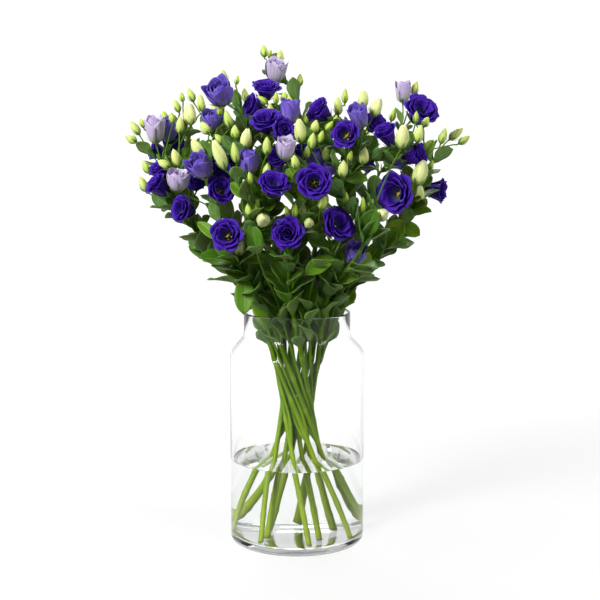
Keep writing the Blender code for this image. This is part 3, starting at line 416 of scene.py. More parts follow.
# Closed buds: pixel across and down, layers behind the front, width and length in mm, and how far
# the tip leans to the right of straight up, in degrees. None leaves the lean to the bunch's spread.
BUDS = (
    (264, 51, 2.6, 12, 18, -4), (270, 54, 3.0, 7, 13, 10), (280, 57, 2.4, 12, 20, 6),
    (224, 77, 1.4, 12, 21, -12), (237, 80, 1.8, 7, 13, 12), (182, 97, 1.8, 8, 14, -10),
    (191, 95, 1.6, 12, 20, -20), (201, 103, 1.4, 13, 23, -6), (177, 106, 1.4, 10, 18, -18),
    (190, 115, 0.8, 19, 27, -4), (165, 116, 1.6, 9, 15, -22), (172, 118, 1.2, 10, 15, -10),
    (180, 125, 0.8, 13, 23, 4), (205, 128, 0.8, 14, 18, -30), (220, 110, 1.8, 10, 15, 4),
    (228, 119, 1.0, 12, 24, -16), (135, 128, 0.6, 13, 22, -32), (142, 123, 1.2, 8, 14, -20),
    (131, 139, 0.8, 12, 18, -62), (235, 132, 0.8, 12, 18, 0), (219, 139, 1.0, 11, 15, -40),
    (198, 149, 0.6, 16, 24, -30), (208, 150, 0.9, 14, 22, 12), (220, 156, 0.0, 17, 38, -20),
    (235, 153, 0.4, 12, 27, -8), (246, 140, 0.6, 17, 26, 12), (267, 146, 0.4, 13, 23, 0),
    (295, 162, 0.0, 12, 18, -6), (267, 171, 0.5, 13, 20, 4), (250, 178, 0.0, 8, 16, -8),
    (164, 164, 0.2, 13, 18, -60), (176, 158, 0.6, 15, 24, -16), (146, 167, 0.8, 12, 19, -26),
    (143, 184, 0.6, 14, 23, -22), (172, 174, 0.7, 9, 15, -20), (270, 110, 1.2, 11, 17, 0),
    (263, 100, 1.6, 8, 16, -50), (276, 98, 1.4, 8, 16, 0), (284, 97, 1.6, 10, 14, 16),
    (300, 132, 0.6, 17, 29, -6), (305, 119, 1.2, 8, 13, -8), (314, 118, 1.4, 9, 13, 34),
    (315, 127, 0.9, 13, 18, 12), (312, 141, 0.4, 12, 21, 10), (321, 137, 0.8, 10, 17, 18),
    (329, 126, 1.0, 9, 16, 40), (307, 152, 0.6, 9, 17, 10), (326, 154, 0.8, 11, 18, 0),
    (338, 106, 1.2, 13, 24, -2), (345, 96, 1.8, 9, 20, 2), (363, 100, 1.4, 16, 22, 8),
    (376, 108, 1.2, 18, 24, 20), (393, 115, 2.0, 9, 18, 16), (415, 88, 2.2, 12, 21, 14),
    (416, 117, 0.4, 8, 15, 4), (426, 122, 0.6, 11, 14, 24), (402, 138, 0.2, 20, 29, 6),
    (419, 134, 0.6, 14, 24, 12), (443, 136, 1.4, 12, 22, 16), (456, 134, 1.4, 14, 24, 50),
    (464, 140, 1.6, 12, 19, 56), (364, 156, 0.6, 15, 22, 8), (343, 169, 0.5, 15, 22, 4),
    (350, 157, 0.9, 9, 16, 14), (420, 174, 0.3, 22, 32, 14), (419, 195, 0.9, 16, 22, 12),
    (431, 165, 1.2, 9, 13, 20), (382, 215, 0.0, 19, 24, None), (363, 205, 0.2, 8, 21, 0),
    (371, 203, 0.5, 8, 12, 24), (309, 223, 0.0, 15, 20, None), (323, 203, 0.2, 12, 18, 20),
    (346, 199, 0.4, 9, 18, 0), (287, 211, 0.4, 8, 14, -10), (295, 210, 0.3, 9, 19, 0),
    (304, 210, 0.6, 15, 21, 6), (249, 211, 0.2, 12, 20, -10), (257, 205, 0.4, 8, 15, 10),
    (263, 220, 0.0, 20, 26, None), (247, 236, 0.2, 9, 14, 4), (240, 247, 0.0, 18, 24, 12),
    (215, 110, 4.5, 13, 22, -16), (245, 95, 4.0, 11, 20, -6), (290, 100, 4.3, 14, 24, 4),
    (300, 80, 3.4, 10, 18, 2), (335, 120, 4.8, 13, 22, 10), (365, 135, 4.8, 15, 24, 16),
    (410, 140, 3.9, 12, 20, 30), (250, 185, 5.5, 14, 22, -8), (215, 195, 5.1, 12, 20, -24),
    (325, 200, 5.6, 14, 22, 10), (370, 195, 5.3, 12, 20, 26), (170, 140, 3.7, 12, 20, -30),
)

# Half the bunch's width at each height, and how deep it is against its width
BUNCH_HEIGHTS = (0.336, 0.362, 0.421, 0.480, 0.524, 0.598, 0.630, 0.660, 0.690, 0.720)
BUNCH_HALF_WIDTHS = (0.075, 0.108, 0.160, 0.190, 0.225, 0.246, 0.225, 0.170, 0.090, 0.030)
BUNCH_DEPTH = 0.70
LAYER = 0.050
PLACING_ROUNDS = 4


def picture_point(across, down, y):
    """The point at depth y that the photograph shows at this pixel."""
    right = (across - PICTURE_CENTRE) / LENS_PIXELS
    up = (PICTURE_CENTRE - down) / LENS_PIXELS
    ray = Vector(
        (
            right,
            math.cos(LENS_TILT) + up * math.sin(LENS_TILT),
            up * math.cos(LENS_TILT) - math.sin(LENS_TILT),
        )
    )
    return LENS + ray * ((y - LENS.y) / ray.y)


def front_of_bunch(x, z):
    """How far forward of the axis the bunch's front surface lies."""
    half = float(np.interp(z, BUNCH_HEIGHTS, BUNCH_HALF_WIDTHS))
    return BUNCH_DEPTH * half * math.sqrt(max(0.0, 1.0 - (x / half) ** 2))


def place_in_bunch(across, down, back):
    """Where a head seen at this pixel lies, a number of layers behind the bunch's front."""
    y = 0.0
    for _ in range(PLACING_ROUNDS):
        point = picture_point(across, down, y)
        y = back * LAYER - front_of_bunch(point.x, point.z)
    return picture_point(across, down, y)


# Balls that fill a bloom: share of its length and radius in widths, and for a ring of balls its
# share of the length, spread, radius and number. An owner is a stem's number, or one of these.
OPEN_CORE = ((0.08, 0.10), (0.30, 0.22), (0.50, 0.28), (0.80, 0.30))
OPEN_RIMS = ((0.58, 0.26, 0.16, 8), (0.86, 0.40, 0.14, 12))
CUP_CORE = ((0.06, 0.14), (0.26, 0.34), (0.50, 0.43), (0.75, 0.46))
CUP_RIMS = ((0.95, 0.36, 0.16, 10),)
BLOOM_OWNER = 100
VASE_OWNER = -1
NOBODY = -2


class Head:
    """An opened bloom or a closed bud, with the point where its flower stalk ends."""

    def __init__(self, place, group, centre, axis, width, length, tint):
        self.place = place
        self.group = group
        self.stem = None
        self.axis = axis
        self.width = width
        self.length = length
        self.tint = tint
        self.base = centre - axis * (0.5 * length)

    def owner(self):
        return self.stem if self.tint == "bud" else BLOOM_OWNER + self.group

    def filling(self):
        """Balls that fill the head, as points and radii."""
        if self.tint == "bud":
            reach = (0.25, 0.5, 0.75)
            points = [self.base + self.axis * (self.length * share) for share in reach]
            return points, [0.42 * self.width, 0.5 * self.width, 0.35 * self.width]
        side = self.axis.orthogonal().normalized()
        over = self.axis.cross(side)
        core, rims = (OPEN_CORE, OPEN_RIMS) if self.tint == "violet" else (CUP_CORE, CUP_RIMS)
        points = [self.base + self.axis * (self.length * share) for share, _ in core]
        radii = [self.width * ball for _, ball in core]
        for share, spread, ball, count in rims:
            for turn in range(count):
                angle = math.tau * turn / count
                out = side * math.cos(angle) + over * math.sin(angle)
                points.append(
                    self.base + self.axis * (self.length * share) + out * (self.width * spread)
                )
                radii.append(self.width * ball)
        return points, radii


def facing(yaw, pitch):
    """The direction this many degrees right of the front and above the level."""
    yaw, pitch = math.radians(yaw), math.radians(pitch)
    return Vector(
        (math.sin(yaw) * math.cos(pitch), -math.cos(yaw) * math.cos(pitch), math.sin(pitch))
    )


# How a bud's tip leans out with its place: forward or back, and for the buds that face the front
# sideways and up
BUD_SPREAD = 1.6
FRONT_BUD_SPREAD = 0.8
FRONT_BUD_RISE = 0.30


def bud_axis(point, lean):
    if lean is None:
        return Vector((FRONT_BUD_SPREAD * point.x, -1.0, FRONT_BUD_RISE)).normalized()
    lean = math.radians(lean)
    return Vector((math.sin(lean), BUD_SPREAD * point.y, math.cos(lean))).normalized()


def all_heads():
    heads = []
    for group, blooms in enumerate(BLOOMS):
        for across, down, back, width, length, yaw, pitch, tint in blooms:
            centre = place_in_bunch(across, down, back)
            axis = facing(yaw, pitch)
            heads.append(
                Head(len(heads), group, centre, axis, width / 1000, length / 1000, tint)
            )
    for index, (across, down, back, width, length, lean) in enumerate(BUDS):
        centre = place_in_bunch(across, down, back)
        axis = bud_axis(centre, lean)
        group = len(BLOOMS) + index
        heads.append(Head(len(heads), group, centre, axis, width / 1000, length / 1000, "bud"))
    return heads


# A stalk's size, and the knots of its path. The straight foot of a stem leans as it stands in the
# vase, and its arch leads from the neck to its crown.
STALK_RADIUS = 0.0031
CROWN_RADIUS = 0.0022
BRANCH_RADIUS = 0.0014
PEDICEL_RADIUS = 0.0011
STALK_KNOTS = 7
BRANCH_KNOTS = 2
STEP = 0.006
FOOT_HEIGHT = 0.0122
WAIST_HEIGHT = 0.205
OUTER_STEMS = 8
OUTER_WAIST = 0.0230
INNER_WAIST = 0.0080
OUTER_SPREAD = 0.400
INNER_SPREAD = 0.235
TOP_OF_STRAIGHT = 0.352
CROWN_LEAN = 1.6
CROWN_PULL = 0.42

# Crown of each stem: azimuth from +X in degrees, distance from the axis, height. The first eight
# stems stand in the outer ring of the bunch, the last four in the inner ring.
CROWNS = (
    (350, 0.172, 0.520),
    (40, 0.160, 0.530),
    (90, 0.128, 0.530),
    (140, 0.160, 0.535),
    (190, 0.172, 0.515),
    (228, 0.158, 0.480),
    (265, 0.122, 0.450),
    (308, 0.158, 0.478),
    (330, 0.090, 0.555),
    (60, 0.060, 0.600),
    (150, 0.080, 0.595),
    (240, 0.088, 0.555),
)


def curve_knots(start, first, second, end, count):
    """Evenly spaced points of a Bezier curve, which a stalk then joins by straight runs."""
    points = []
    for index in range(count + 1):
        t = index / count
        u = 1.0 - t
        points.append(
            start * u**3 + first * (3 * u * u * t) + second * (3 * u * t * t) + end * t**3
        )
    return points


def dense(knots):
    """Points about one STEP apart along the straight runs between the knots."""
    points = []
    for before, after in zip(knots, knots[1:]):
        count = max(1, round((after - before).length / STEP))
        points += [before.lerp(after, step / count) for step in range(count)]
    return points + [knots[-1]]


class Stem:
    """One cut stem: its stalk, and the branches, flower stalks, buds and leaves it carries."""

    def __init__(self, index, azimuth, reach, height):
        self.index = index
        outer = index < OUTER_STEMS
        waist = OUTER_WAIST if outer else INNER_WAIST
        spread = OUTER_SPREAD if outer else INNER_SPREAD
        climb = TOP_OF_STRAIGHT - WAIST_HEIGHT
        turn = math.radians(azimuth) + math.atan2(spread * climb, waist)
        side = Vector((math.cos(turn), math.sin(turn), 0.0))
        self.slope = Vector((math.sin(turn) * spread, -math.cos(turn) * spread, 1.0))
        waist_point = side * waist + Vector((0.0, 0.0, WAIST_HEIGHT))
        self.foot = waist_point + self.slope * (FOOT_HEIGHT - WAIST_HEIGHT)
        top = waist_point + self.slope * climb
        out = Vector((math.cos(math.radians(azimuth)), math.sin(math.radians(azimuth)), 0.0))
        self.crown = out * reach + Vector((0.0, 0.0, height))
        up = (Vector((0.0, 0.0, 1.0)) + out * (CROWN_LEAN * reach)).normalized()
        pull = CROWN_PULL * (self.crown - top).length
        first = top + self.slope.normalized() * pull
        arc_knots = curve_knots(top, first, self.crown - up * pull, self.crown, STALK_KNOTS)
        self.knots = [self.foot, *arc_knots]
        self.branches = []
        self.shoots = []
        self.leaves = []

    def forks(self):
        """Points where a branch may leave, with the direction of growth there."""
        places = [(self.knots[-1], (self.knots[-1] - self.knots[-2]).normalized(), None)]
        for carrier in [None, *self.branches]:
            knots = carrier.knots if carrier else self.knots
            for before, knot, after in zip(knots, knots[1:], knots[2:]):
                places.append((knot, (after - before).normalized(), carrier))
        return places


class Branch:
    """A side branch or flower stalk from a fork to the head that it carries."""

    def __init__(self, head, knots, carrier):
        self.head = head
        self.knots = knots
        self.carrier = carrier


# Room is kept between things by moving heads in a few rounds, each by a share of what is missing
HEAD_GAP = 0.0012
PARTING_ROUNDS = 80
PARTING_SHARE = 0.35
STALK_SHARE = 0.5
SETTLED = 0.0001
FAR = 0.05
NECK_FOOT = 0.290
NECK_BALLS = 96


def part_heads(heads, stems):
    """Moves heads clear of each other and of the stalks along the line of sight, so that the
    picture stays the same."""
    groups = [head.group for head in heads]
    count = max(groups) + 1
    stalks = np.array([point for stem in stems for point in dense(stem.knots)])
    for _ in range(PARTING_ROUNDS):
        fillings = [head.filling() for head in heads]
        points = np.array([point for filling in fillings for point in filling[0]])
        radii = np.array([radius for filling in fillings for radius in filling[1]])
        owners = np.array([g for g, filling in zip(groups, fillings) for _ in filling[0]])
        starts = np.searchsorted(owners, np.arange(count))
        apart = np.linalg.norm(points[:, None] - points[None], axis=2)
        overlap = radii[:, None] + radii[None] + HEAD_GAP - apart
        overlap[owners[:, None] == owners[None]] = -1.0
        overlap = np.maximum.reduceat(np.maximum.reduceat(overlap, starts, axis=0), starts, axis=1)
        overlap = np.clip(overlap, 0.0, None)
        depth = np.array([points[owners == group, 1].mean() for group in range(count)])
        behind = np.sign(depth[:, None] - depth[None] + 1e-9 * np.arange(count)[:, None])
        shift = PARTING_SHARE * (overlap * behind).sum(axis=1)
        apart = np.linalg.norm(points[:, None] - stalks[None], axis=2)
        against = radii[:, None] + STALK_RADIUS + HEAD_GAP - apart
        worst = np.maximum.reduceat(against.max(axis=1), starts)
        for group in np.flatnonzero(worst > 0.0):
            mine = np.where(owners == group, against.max(axis=1), -1.0).argmax()
            stalk = stalks[against[mine].argmax()]
            away = 1.0 if depth[group] > stalk[1] else -1.0
            shift[group] += STALK_SHARE * worst[group] * away
        if np.abs(shift).max() < SETTLED:
            break
        for head in heads:
            ray = head.base - LENS
            head.base = head.base + ray * (float(shift[head.group]) / ray.y)


class Room:
    """Balls that stand for everything placed so far, each with the node that owns it."""

    def __init__(self):
        self.points = np.empty((0, 3))
        self.radii = np.empty(0)
        self.owners = np.empty(0, dtype=int)
        self.places = np.empty(0, dtype=int)

    def fill(self, owner, points, radii, place=-1):
        self.points = np.vstack([self.points, np.array(points)])
        self.radii = np.append(self.radii, radii)
        self.owners = np.append(self.owners, np.full(len(points), owner))
        self.places = np.append(self.places, np.full(len(points), place))

    def empty(self, place):
        self.owners[self.places == place] = NOBODY

    def around(self, centre, reach, without):
        near = np.linalg.norm(self.points - np.array(centre), axis=1) < reach
        near &= self.owners != NOBODY
        for owner in without:
            near &= self.owners != owner
        return self.points[near], self.radii[near]

    def of_owner(self, centre, least, most, owner):
        gaps = np.linalg.norm(self.points - np.array(centre), axis=1)
        near = (gaps > least) & (gaps < most) & (self.owners == owner)
        return self.points[near], self.radii[near]


def clearance(shape, radii, around):
    """The least gap between a row of balls and those around it."""
    points, others = around
    if not len(points):
        return FAR
    apart = np.linalg.norm(np.array(shape)[:, None] - points[None], axis=2)
    return float((apart - np.asarray(radii)[:, None] - others[None]).min())


def fill_with_vase(room):
    wall = NECK_RADIUS - 0.5 * WALL
    for height in np.arange(NECK_FOOT, VASE_HEIGHT, STEP):
        for turn in range(NECK_BALLS):
            angle = math.tau * turn / NECK_BALLS
            point = (wall * math.cos(angle), wall * math.sin(angle), float(height))
            room.fill(VASE_OWNER, [point], [0.5 * WALL + HEAD_GAP])


# How far a branch reaches, and the costs that weigh a crooked or a crowded way against a long one,
# in metres
HEADS_A_STEM = 15
NEAREST_STEMS = 4
SHORTEST_REACH = 0.030
LONGEST_REACH = 0.170
LEAST_RISE = 0.010
BRANCH_GAP = 0.0018
PULLS = (0.25, 0.40, 0.55)
BEND_COST = 0.040
HEAD_BEND = 0.7
CROWDED_BRANCH = 12.0


def share_out(heads, stems):
    """Gives each head to the stem whose crown is nearest, or to the next once that one is full."""
    gaps = []
    for head in heads:
        for stem in stems:
            gaps.append(((stem.crown - head.base).length, head.place, stem.index))
    carried = {stem.index: 0 for stem in stems}
    for _, place, index in sorted(gaps):
        if heads[place].stem is None and carried[index] < HEADS_A_STEM:
            heads[place].stem = index
            carried[index] += 1


def reach_for(head, stems, room):
    """The stem and the path by which a head is carried, clear of everything else."""
    best = None
    own = [np.array(filling) for filling in head.filling()]
    for stem in stems:
        around = room.around(head.base, LONGEST_REACH, [stem.index, head.owner()])
        for fork, growth, carrier in stem.forks():
            gap = head.base - fork
            if not SHORTEST_REACH < gap.length < LONGEST_REACH or gap.z < LEAST_RISE:
                continue
            straight = gap.normalized()
            bend = straight.angle(growth) + HEAD_BEND * straight.angle(head.axis)
            if best and gap.length + BEND_COST * bend > best[0]:
                continue
            for pull in PULLS:
                first = fork + growth * (pull * gap.length)
                second = head.base - head.axis * (pull * gap.length)
                knots = curve_knots(fork, first, second, head.base, BRANCH_KNOTS)
                path = dense(knots)
                free = clearance(path, [PEDICEL_RADIUS] * len(path), around)
                free = min(free, clearance(path[:-2], [PEDICEL_RADIUS] * (len(path) - 2), own))
                cost = gap.length + BEND_COST * bend
                cost += CROWDED_BRANCH * max(0.0, BRANCH_GAP - free)
                if best is None or cost < best[0]:
                    best = (cost, free, stem, knots, carrier)
    return best


def carry(heads, stems, room):
    """Joins every head to its stem, or to whichever stem has a clear way to it."""
    def gap_to_crown(head):
        return (stems[head.stem].crown - head.base).length

    for head in sorted(heads, key=gap_to_crown):
        found = reach_for(head, [stems[head.stem]], room)
        if found is None or found[1] < 0.5 * BRANCH_GAP:
            others = sorted(stems, key=lambda stem: (stem.crown - head.base).length)
            other = reach_for(head, others[:NEAREST_STEMS], room)
            if found is None or (other and other[1] > found[1]):
                found = other
        if found is None:
            continue
        stem, knots, carrier = found[2:]
        if head.tint == "bud":
            points, radii = head.filling()
            room.empty(head.place)
            room.fill(stem.index, points, radii, head.place)
        stem.branches.append(Branch(head, knots, carrier))
        path = dense(knots)
        room.fill(stem.index, path, [BRANCH_RADIUS] * len(path))


# A leaf's size and fold, its gap to what is round it, and the ways in which a pair may turn
LEAF_LENGTH = 0.056
LEAF_WIDTH = 0.027
LEAF_THICK = 0.0016
LEAF_FOLD = 0.30
LEAF_ROOT = 0.0010
TWIG_LEAF_ROOT = 0.0001
LEAF_GAP = 0.0032
LEAST_LEAF_GAP = 0.0020
LEAST_FILL_GAP = 0.0004
OWN_ROOT_REACH = 0.016
NODE_SPACING = 0.070
LOWEST_LEAF = 0.318
LEAF_TURN = 1.1
LEAF_SWINGS = (0.0, -0.35, 0.35, -0.7, 0.7, -1.05, 1.05)
LEAF_SPREADS = ((0.62, 0.16), (0.90, 0.10), (0.38, 0.24), (1.15, -0.05))
SWING_COST = 0.006
CROWDED_LEAF = 4.0
CROSSING_LEAF = 2.0
HIDING_SHARES = (0.35, 0.6, 0.85, 1.0)
HIDING_WIDTH = 0.45
LEAST_BEFORE = 0.012
MOST_BEFORE = 0.09


class Leaf:
    """A leaf blade from its root on a stem: direction of growth, upper side, length and width."""

    def __init__(self, root, growth, upper, length, width, droop):
        self.root = root
        self.growth = growth.normalized()
        self.side = self.growth.cross(upper).normalized()
        self.upper = self.side.cross(self.growth).normalized()
        self.length = length
        self.width = width
        self.droop = droop

    def midrib(self, share):
        along = self.growth * (self.length * share * (1.0 - 0.25 * self.droop * share))
        return self.root + along - self.upper * (self.droop * self.length * share**2)

    def half_width(self, share):
        return 0.5 * self.width * math.sin(math.pi * share**0.85) ** 0.75

    def point(self, share, across):
        """A point of the blade: share runs from root to tip, across from -1 to 1."""
        half = self.half_width(share)
        fold = self.upper * (LEAF_FOLD * half * abs(across))
        return self.midrib(share) + self.side * (half * across) + fold

    def filling(self):
        points = []
        for step in range(1, 11):
            share = 0.02 + 0.098 * step if step < 10 else 1.0
            for across in (-1.0, -0.5, 0.0, 0.5, 1.0) if 1 < step < 10 else (0.0,):
                points.append(self.point(share, across))
        return points, [0.5 * LEAF_THICK] * len(points)


def hides_a_head(leaf, heads):
    """True where the leaf hangs before a bloom or bud, as the photographer saw them."""
    centres = np.array([head.base + head.axis * (0.5 * head.length) - LENS for head in heads])
    far = np.linalg.norm(centres, axis=1)
    widths = np.array([head.width for head in heads])
    for share in HIDING_SHARES:
        gap = np.array(leaf.midrib(share) - LENS)
        near = centres @ gap / far
        aside = np.linalg.norm(gap - centres * (near / far)[:, None], axis=1)
        before = (near < far - LEAST_BEFORE) & (near > far - MOST_BEFORE)
        if (before & (aside < HIDING_WIDTH * widths)).any():
            return True
    return False


def leaf_pair(stem, path, index, turn, room, size=1.0, ways=None):
    """Two opposite leaves at a node of the stem, each turned to the clearest side near its own."""
    root = path[index]
    growth = (path[index + 1] - path[index - 1]).normalized()
    first = growth.orthogonal().normalized()
    second = growth.cross(first)
    around = room.around(root, 1.5 * LEAF_LENGTH, [stem.index])
    own = room.of_owner(root, OWN_ROOT_REACH, 1.5 * LEAF_LENGTH, stem.index)
    for opposite in (0.0, math.pi):
        best = None
        for swing in ways[0] if ways else LEAF_SWINGS:
            angle = turn + opposite + swing
            out = first * math.cos(angle) + second * math.sin(angle)
            for spread, droop in ways[1] if ways else LEAF_SPREADS:
                leaf = Leaf(
                    root + out * LEAF_ROOT,
                    growth * math.cos(spread) + out * math.sin(spread),
                    growth * math.sin(spread) - out * math.cos(spread),
                    LEAF_LENGTH * size,
                    LEAF_WIDTH * size,
                    droop,
                )
                free = clearance(*leaf.filling(), around)
                crossing = max(0.0, LEAF_GAP - clearance(*leaf.filling(), own))
                cost = SWING_COST * abs(swing) + CROSSING_LEAF * crossing
                cost += CROWDED_LEAF * max(0.0, LEAF_GAP - free)
                if ways and hides_a_head(leaf, heads):
                    cost, free = cost + FAR, -FAR
                if best is None or cost < best[0]:
                    best = (cost, free, leaf)
        if best[1] > (LEAST_LEAF_GAP if size == 1.0 else LEAST_FILL_GAP):
            stem.leaves.append(best[2])
            room.fill(stem.index, *best[2].filling())


# Leaves that show at the front: pixel of the root, pixel of the tip, and width in mm
SEEN_LEAVES = (
    (224, 262, 186, 245, 17), (218, 248, 192, 228, 14), (230, 280, 207, 264, 18),
    (210, 250, 186, 233, 13), (246, 258, 270, 257, 17), (295, 303, 283, 271, 26),
    (298, 303, 296, 273, 13), (303, 288, 332, 305, 32), (334, 300, 330, 268, 22),
    (338, 306, 352, 288, 22), (350, 308, 360, 284, 20), (243, 278, 242, 312, 24),
    (254, 296, 252, 277, 17), (281, 319, 256, 308, 26), (259, 266, 268, 291, 15),
    (343, 252, 317, 265, 20), (349, 284, 349, 269, 15), (355, 281, 372, 258, 20),
    (376, 276, 388, 256, 20), (386, 256, 398, 239, 17), (399, 226, 417, 234, 20),
    (403, 218, 427, 198, 18), (383, 242, 396, 221, 24), (358, 240, 368, 214, 24),
    (304, 250, 315, 274, 12), (246, 275, 228, 270, 14), (222, 150, 222, 124, 26),
    (360, 172, 380, 140, 26), (365, 203, 388, 176, 24), (333, 199, 350, 183, 22),
    (262, 345, 260, 320, 20), (313, 340, 291, 334, 22),
)
SEEN_LEAF_REACH = 0.030
SEEN_LEAF_FORWARDS = (0.55, 0.25, 0.0, -0.3)
SEEN_LEAF_UPPER = Vector((0.0, -1.0, 0.45))
SEEN_LEAF_DROOP = 0.10
SHORTEST_SEEN_LEAF = 0.030
LONGEST_SEEN_LEAF = 0.070
FRONT_COST = 0.05
CROWDED_SEEN_LEAF = 10.0


def seen_leaf(stems, room, root_pixel, tip_pixel, width):
    """A leaf that the photograph shows, from the foremost stem near its root to its tip."""
    best = None
    for stem in stems:
        for knots in [stem.knots] + [branch.knots for branch in stem.branches]:
            path = dense(knots)
            sunk = LEAF_ROOT if knots is stem.knots else TWIG_LEAF_ROOT
            for index in range(1, len(path) - 3):
                root = path[index]
                at_root = picture_point(*root_pixel, root.y)
                off = (at_root - root).length
                if off > SEEN_LEAF_REACH:
                    continue
                around = room.around(root, 1.6 * LEAF_LENGTH, [stem.index])
                own = room.of_owner(root, OWN_ROOT_REACH, 1.6 * LEAF_LENGTH, stem.index)
                toward = picture_point(*tip_pixel, root.y) - at_root
                for forward in SEEN_LEAF_FORWARDS:
                    growth = toward + Vector((0.0, -forward * toward.length, 0.0))
                    length = max(growth.length + 0.5 * off, SHORTEST_SEEN_LEAF)
                    leaf = Leaf(
                        root + growth.normalized() * sunk,
                        growth,
                        SEEN_LEAF_UPPER,
                        min(length, LONGEST_SEEN_LEAF),
                        width,
                        SEEN_LEAF_DROOP,
                    )
                    free = clearance(*leaf.filling(), around)
                    crossing = max(0.0, LEAF_GAP - clearance(*leaf.filling(), own))
                    cost = off + FRONT_COST * root.y + CROSSING_LEAF * crossing
                    cost += CROWDED_SEEN_LEAF * max(0.0, LEAF_GAP - free)
                    if best is None or cost < best[0]:
                        best = (cost, free, stem, leaf)
    if best and best[1] > LEAST_LEAF_GAP:
        best[2].leaves.append(best[3])
        room.fill(best[2].index, *best[3].filling())


heads = all_heads()
stems = [Stem(index, *crown) for index, crown in enumerate(CROWNS)]
part_heads(heads, stems)
room = Room()
fill_with_vase(room)
for stem in stems:
    line = dense(stem.knots)
    line += [before.lerp(after, 0.5) for before, after in zip(line, line[1:])]
    room.fill(stem.index, line, [STALK_RADIUS] * len(line))
share_out(heads, stems)
for head in heads:
    room.fill(head.owner(), *head.filling(), head.place)
carry(heads, stems, room)
for root_across, root_down, tip_across, tip_down, width in SEEN_LEAVES:
    seen_leaf(stems, room, (root_across, root_down), (tip_across, tip_down), width / 1000)
for stem in stems:
    path = [point for point in dense(stem.knots) if point.z > LOWEST_LEAF]
    turn = LEAF_TURN * stem.index
    index = 1
    while index < len(path) - 1:
        leaf_pair(stem, path, index, turn, room)
        turn += 0.5 * math.pi
        index += int(NODE_SPACING / STEP)


class Growth:
    """Gathers the skins of grown things, each a row of rings, then makes one mesh of them."""

    def __init__(self):
        self.count = 0
        self.points = []
        self.faces = []
        self.looks = []
        self.values = {"along": [], "across": [], "tone": []}

    def skin(self, rings, looks, tone, along=None, across=None):
        """Rings of points joined into a closed skin. Looks is the finish of each strip."""
        rows, sides = rings.shape[:2]
        index = self.count + np.arange(rows * sides).reshape(rows, sides)
        self.count += rows * sides
        self.points.append(rings.reshape(-1, 3))
        ahead = np.roll(index, -1, axis=1)
        quads = np.stack([index[:-1], ahead[:-1], ahead[1:], index[1:]], axis=-1)
        self.faces.append(quads.reshape(-1, 4))
        self.looks.append(np.tile(looks, rows - 1))
        for ring in (index[0], index[-1]):
            strip = np.arange(sides // 2 - 1)
            lid = (ring[strip], ring[strip + 1], ring[sides - 2 - strip], ring[sides - 1 - strip])
            self.faces.append(np.stack(lid, axis=-1))
            self.looks.append(np.full(len(strip), looks[0]))
        along = np.linspace(0.0, 1.0, rows) if along is None else along
        across = np.linspace(0.0, 1.0, sides) if across is None else across
        self.values["along"].append(np.repeat(along, sides) if along.ndim == 1 else along.ravel())
        self.values["across"].append(np.tile(across, rows))
        self.values["tone"].append(np.full(rows * sides, tone))

    def sheet(self, grid, thick, face, back, tone, along=None):
        """A thin closed blade over rows of points, with a finish for its face and for its back."""
        columns = grid.shape[1]
        slope = np.cross(np.gradient(grid, axis=1), np.gradient(grid, axis=0))
        slope /= np.linalg.norm(slope, axis=2, keepdims=True) + 1e-12
        half = 0.5 * thick * slope
        rings = np.concatenate([grid + half, (grid - half)[:, ::-1]], axis=1)
        across = np.linspace(-1.0, 1.0, columns)
        if along is not None:
            along = np.concatenate([along, along[:, ::-1]], axis=1)
        looks = [face] * (columns - 1) + [back] * (columns + 1)
        self.skin(rings, looks, tone, along, np.concatenate([across, across[::-1]]))

    def made(self, name, finishes):
        mesh = bpy.data.meshes.new(name)
        points, faces = np.concatenate(self.points), np.concatenate(self.faces)
        mesh.from_pydata(points.tolist(), [], faces.tolist())
        mesh.polygons.foreach_set("material_index", np.concatenate(self.looks).astype(np.int32))
        for value, parts in self.values.items():
            layer = mesh.attributes.new(value, "FLOAT", "POINT")
            layer.data.foreach_set("value", np.concatenate(parts).astype(np.float32))
        for finish in finishes:
            mesh.materials.append(finish.material)
        shape = bmesh.new()
        shape.from_mesh(mesh)
        bmesh.ops.recalc_face_normals(shape, faces=shape.faces)
        shape.to_mesh(mesh)
        shape.free()
        mesh.shade_smooth()
        grown = bpy.data.objects.new(name, mesh)
        scene.collection.objects.link(grown)
        return grown


def rings_round(line, radii, sides):
    """Rings round a line of points, turned as little as can be from one to the next."""
    line = np.array([tuple(point) for point in line])
    ahead = np.gradient(line, axis=0)
    ahead /= np.linalg.norm(ahead, axis=1, keepdims=True)
    side = np.cross(ahead[0], (0.3, 0.9, 0.1))
    angles = math.tau * np.arange(sides) / sides
    rings = []
    for place, way, radius in zip(line, ahead, radii):
        side = side - way * side.dot(way)
        side /= np.linalg.norm(side)
        over = np.cross(way, side)
        ring = np.outer(np.cos(angles), side) + np.outer(np.sin(angles), over)
        rings.append(place + ring * np.reshape(radius, (-1, 1)))
    return np.array(rings)


def hold(knots, places):
    """Points of the smooth curve through knots that lie on one Bezier curve at even steps."""
    points = np.array([tuple(knot) for knot in knots])
    steps = np.linspace(0.0, 1.0, len(knots))
    order = min(3, len(knots) - 1)
    fits = [polynomial.polyfit(steps, points[:, axis], order) for axis in range(3)]
    return np.stack([polynomial.polyval(places, fit) for fit in fits], axis=1)


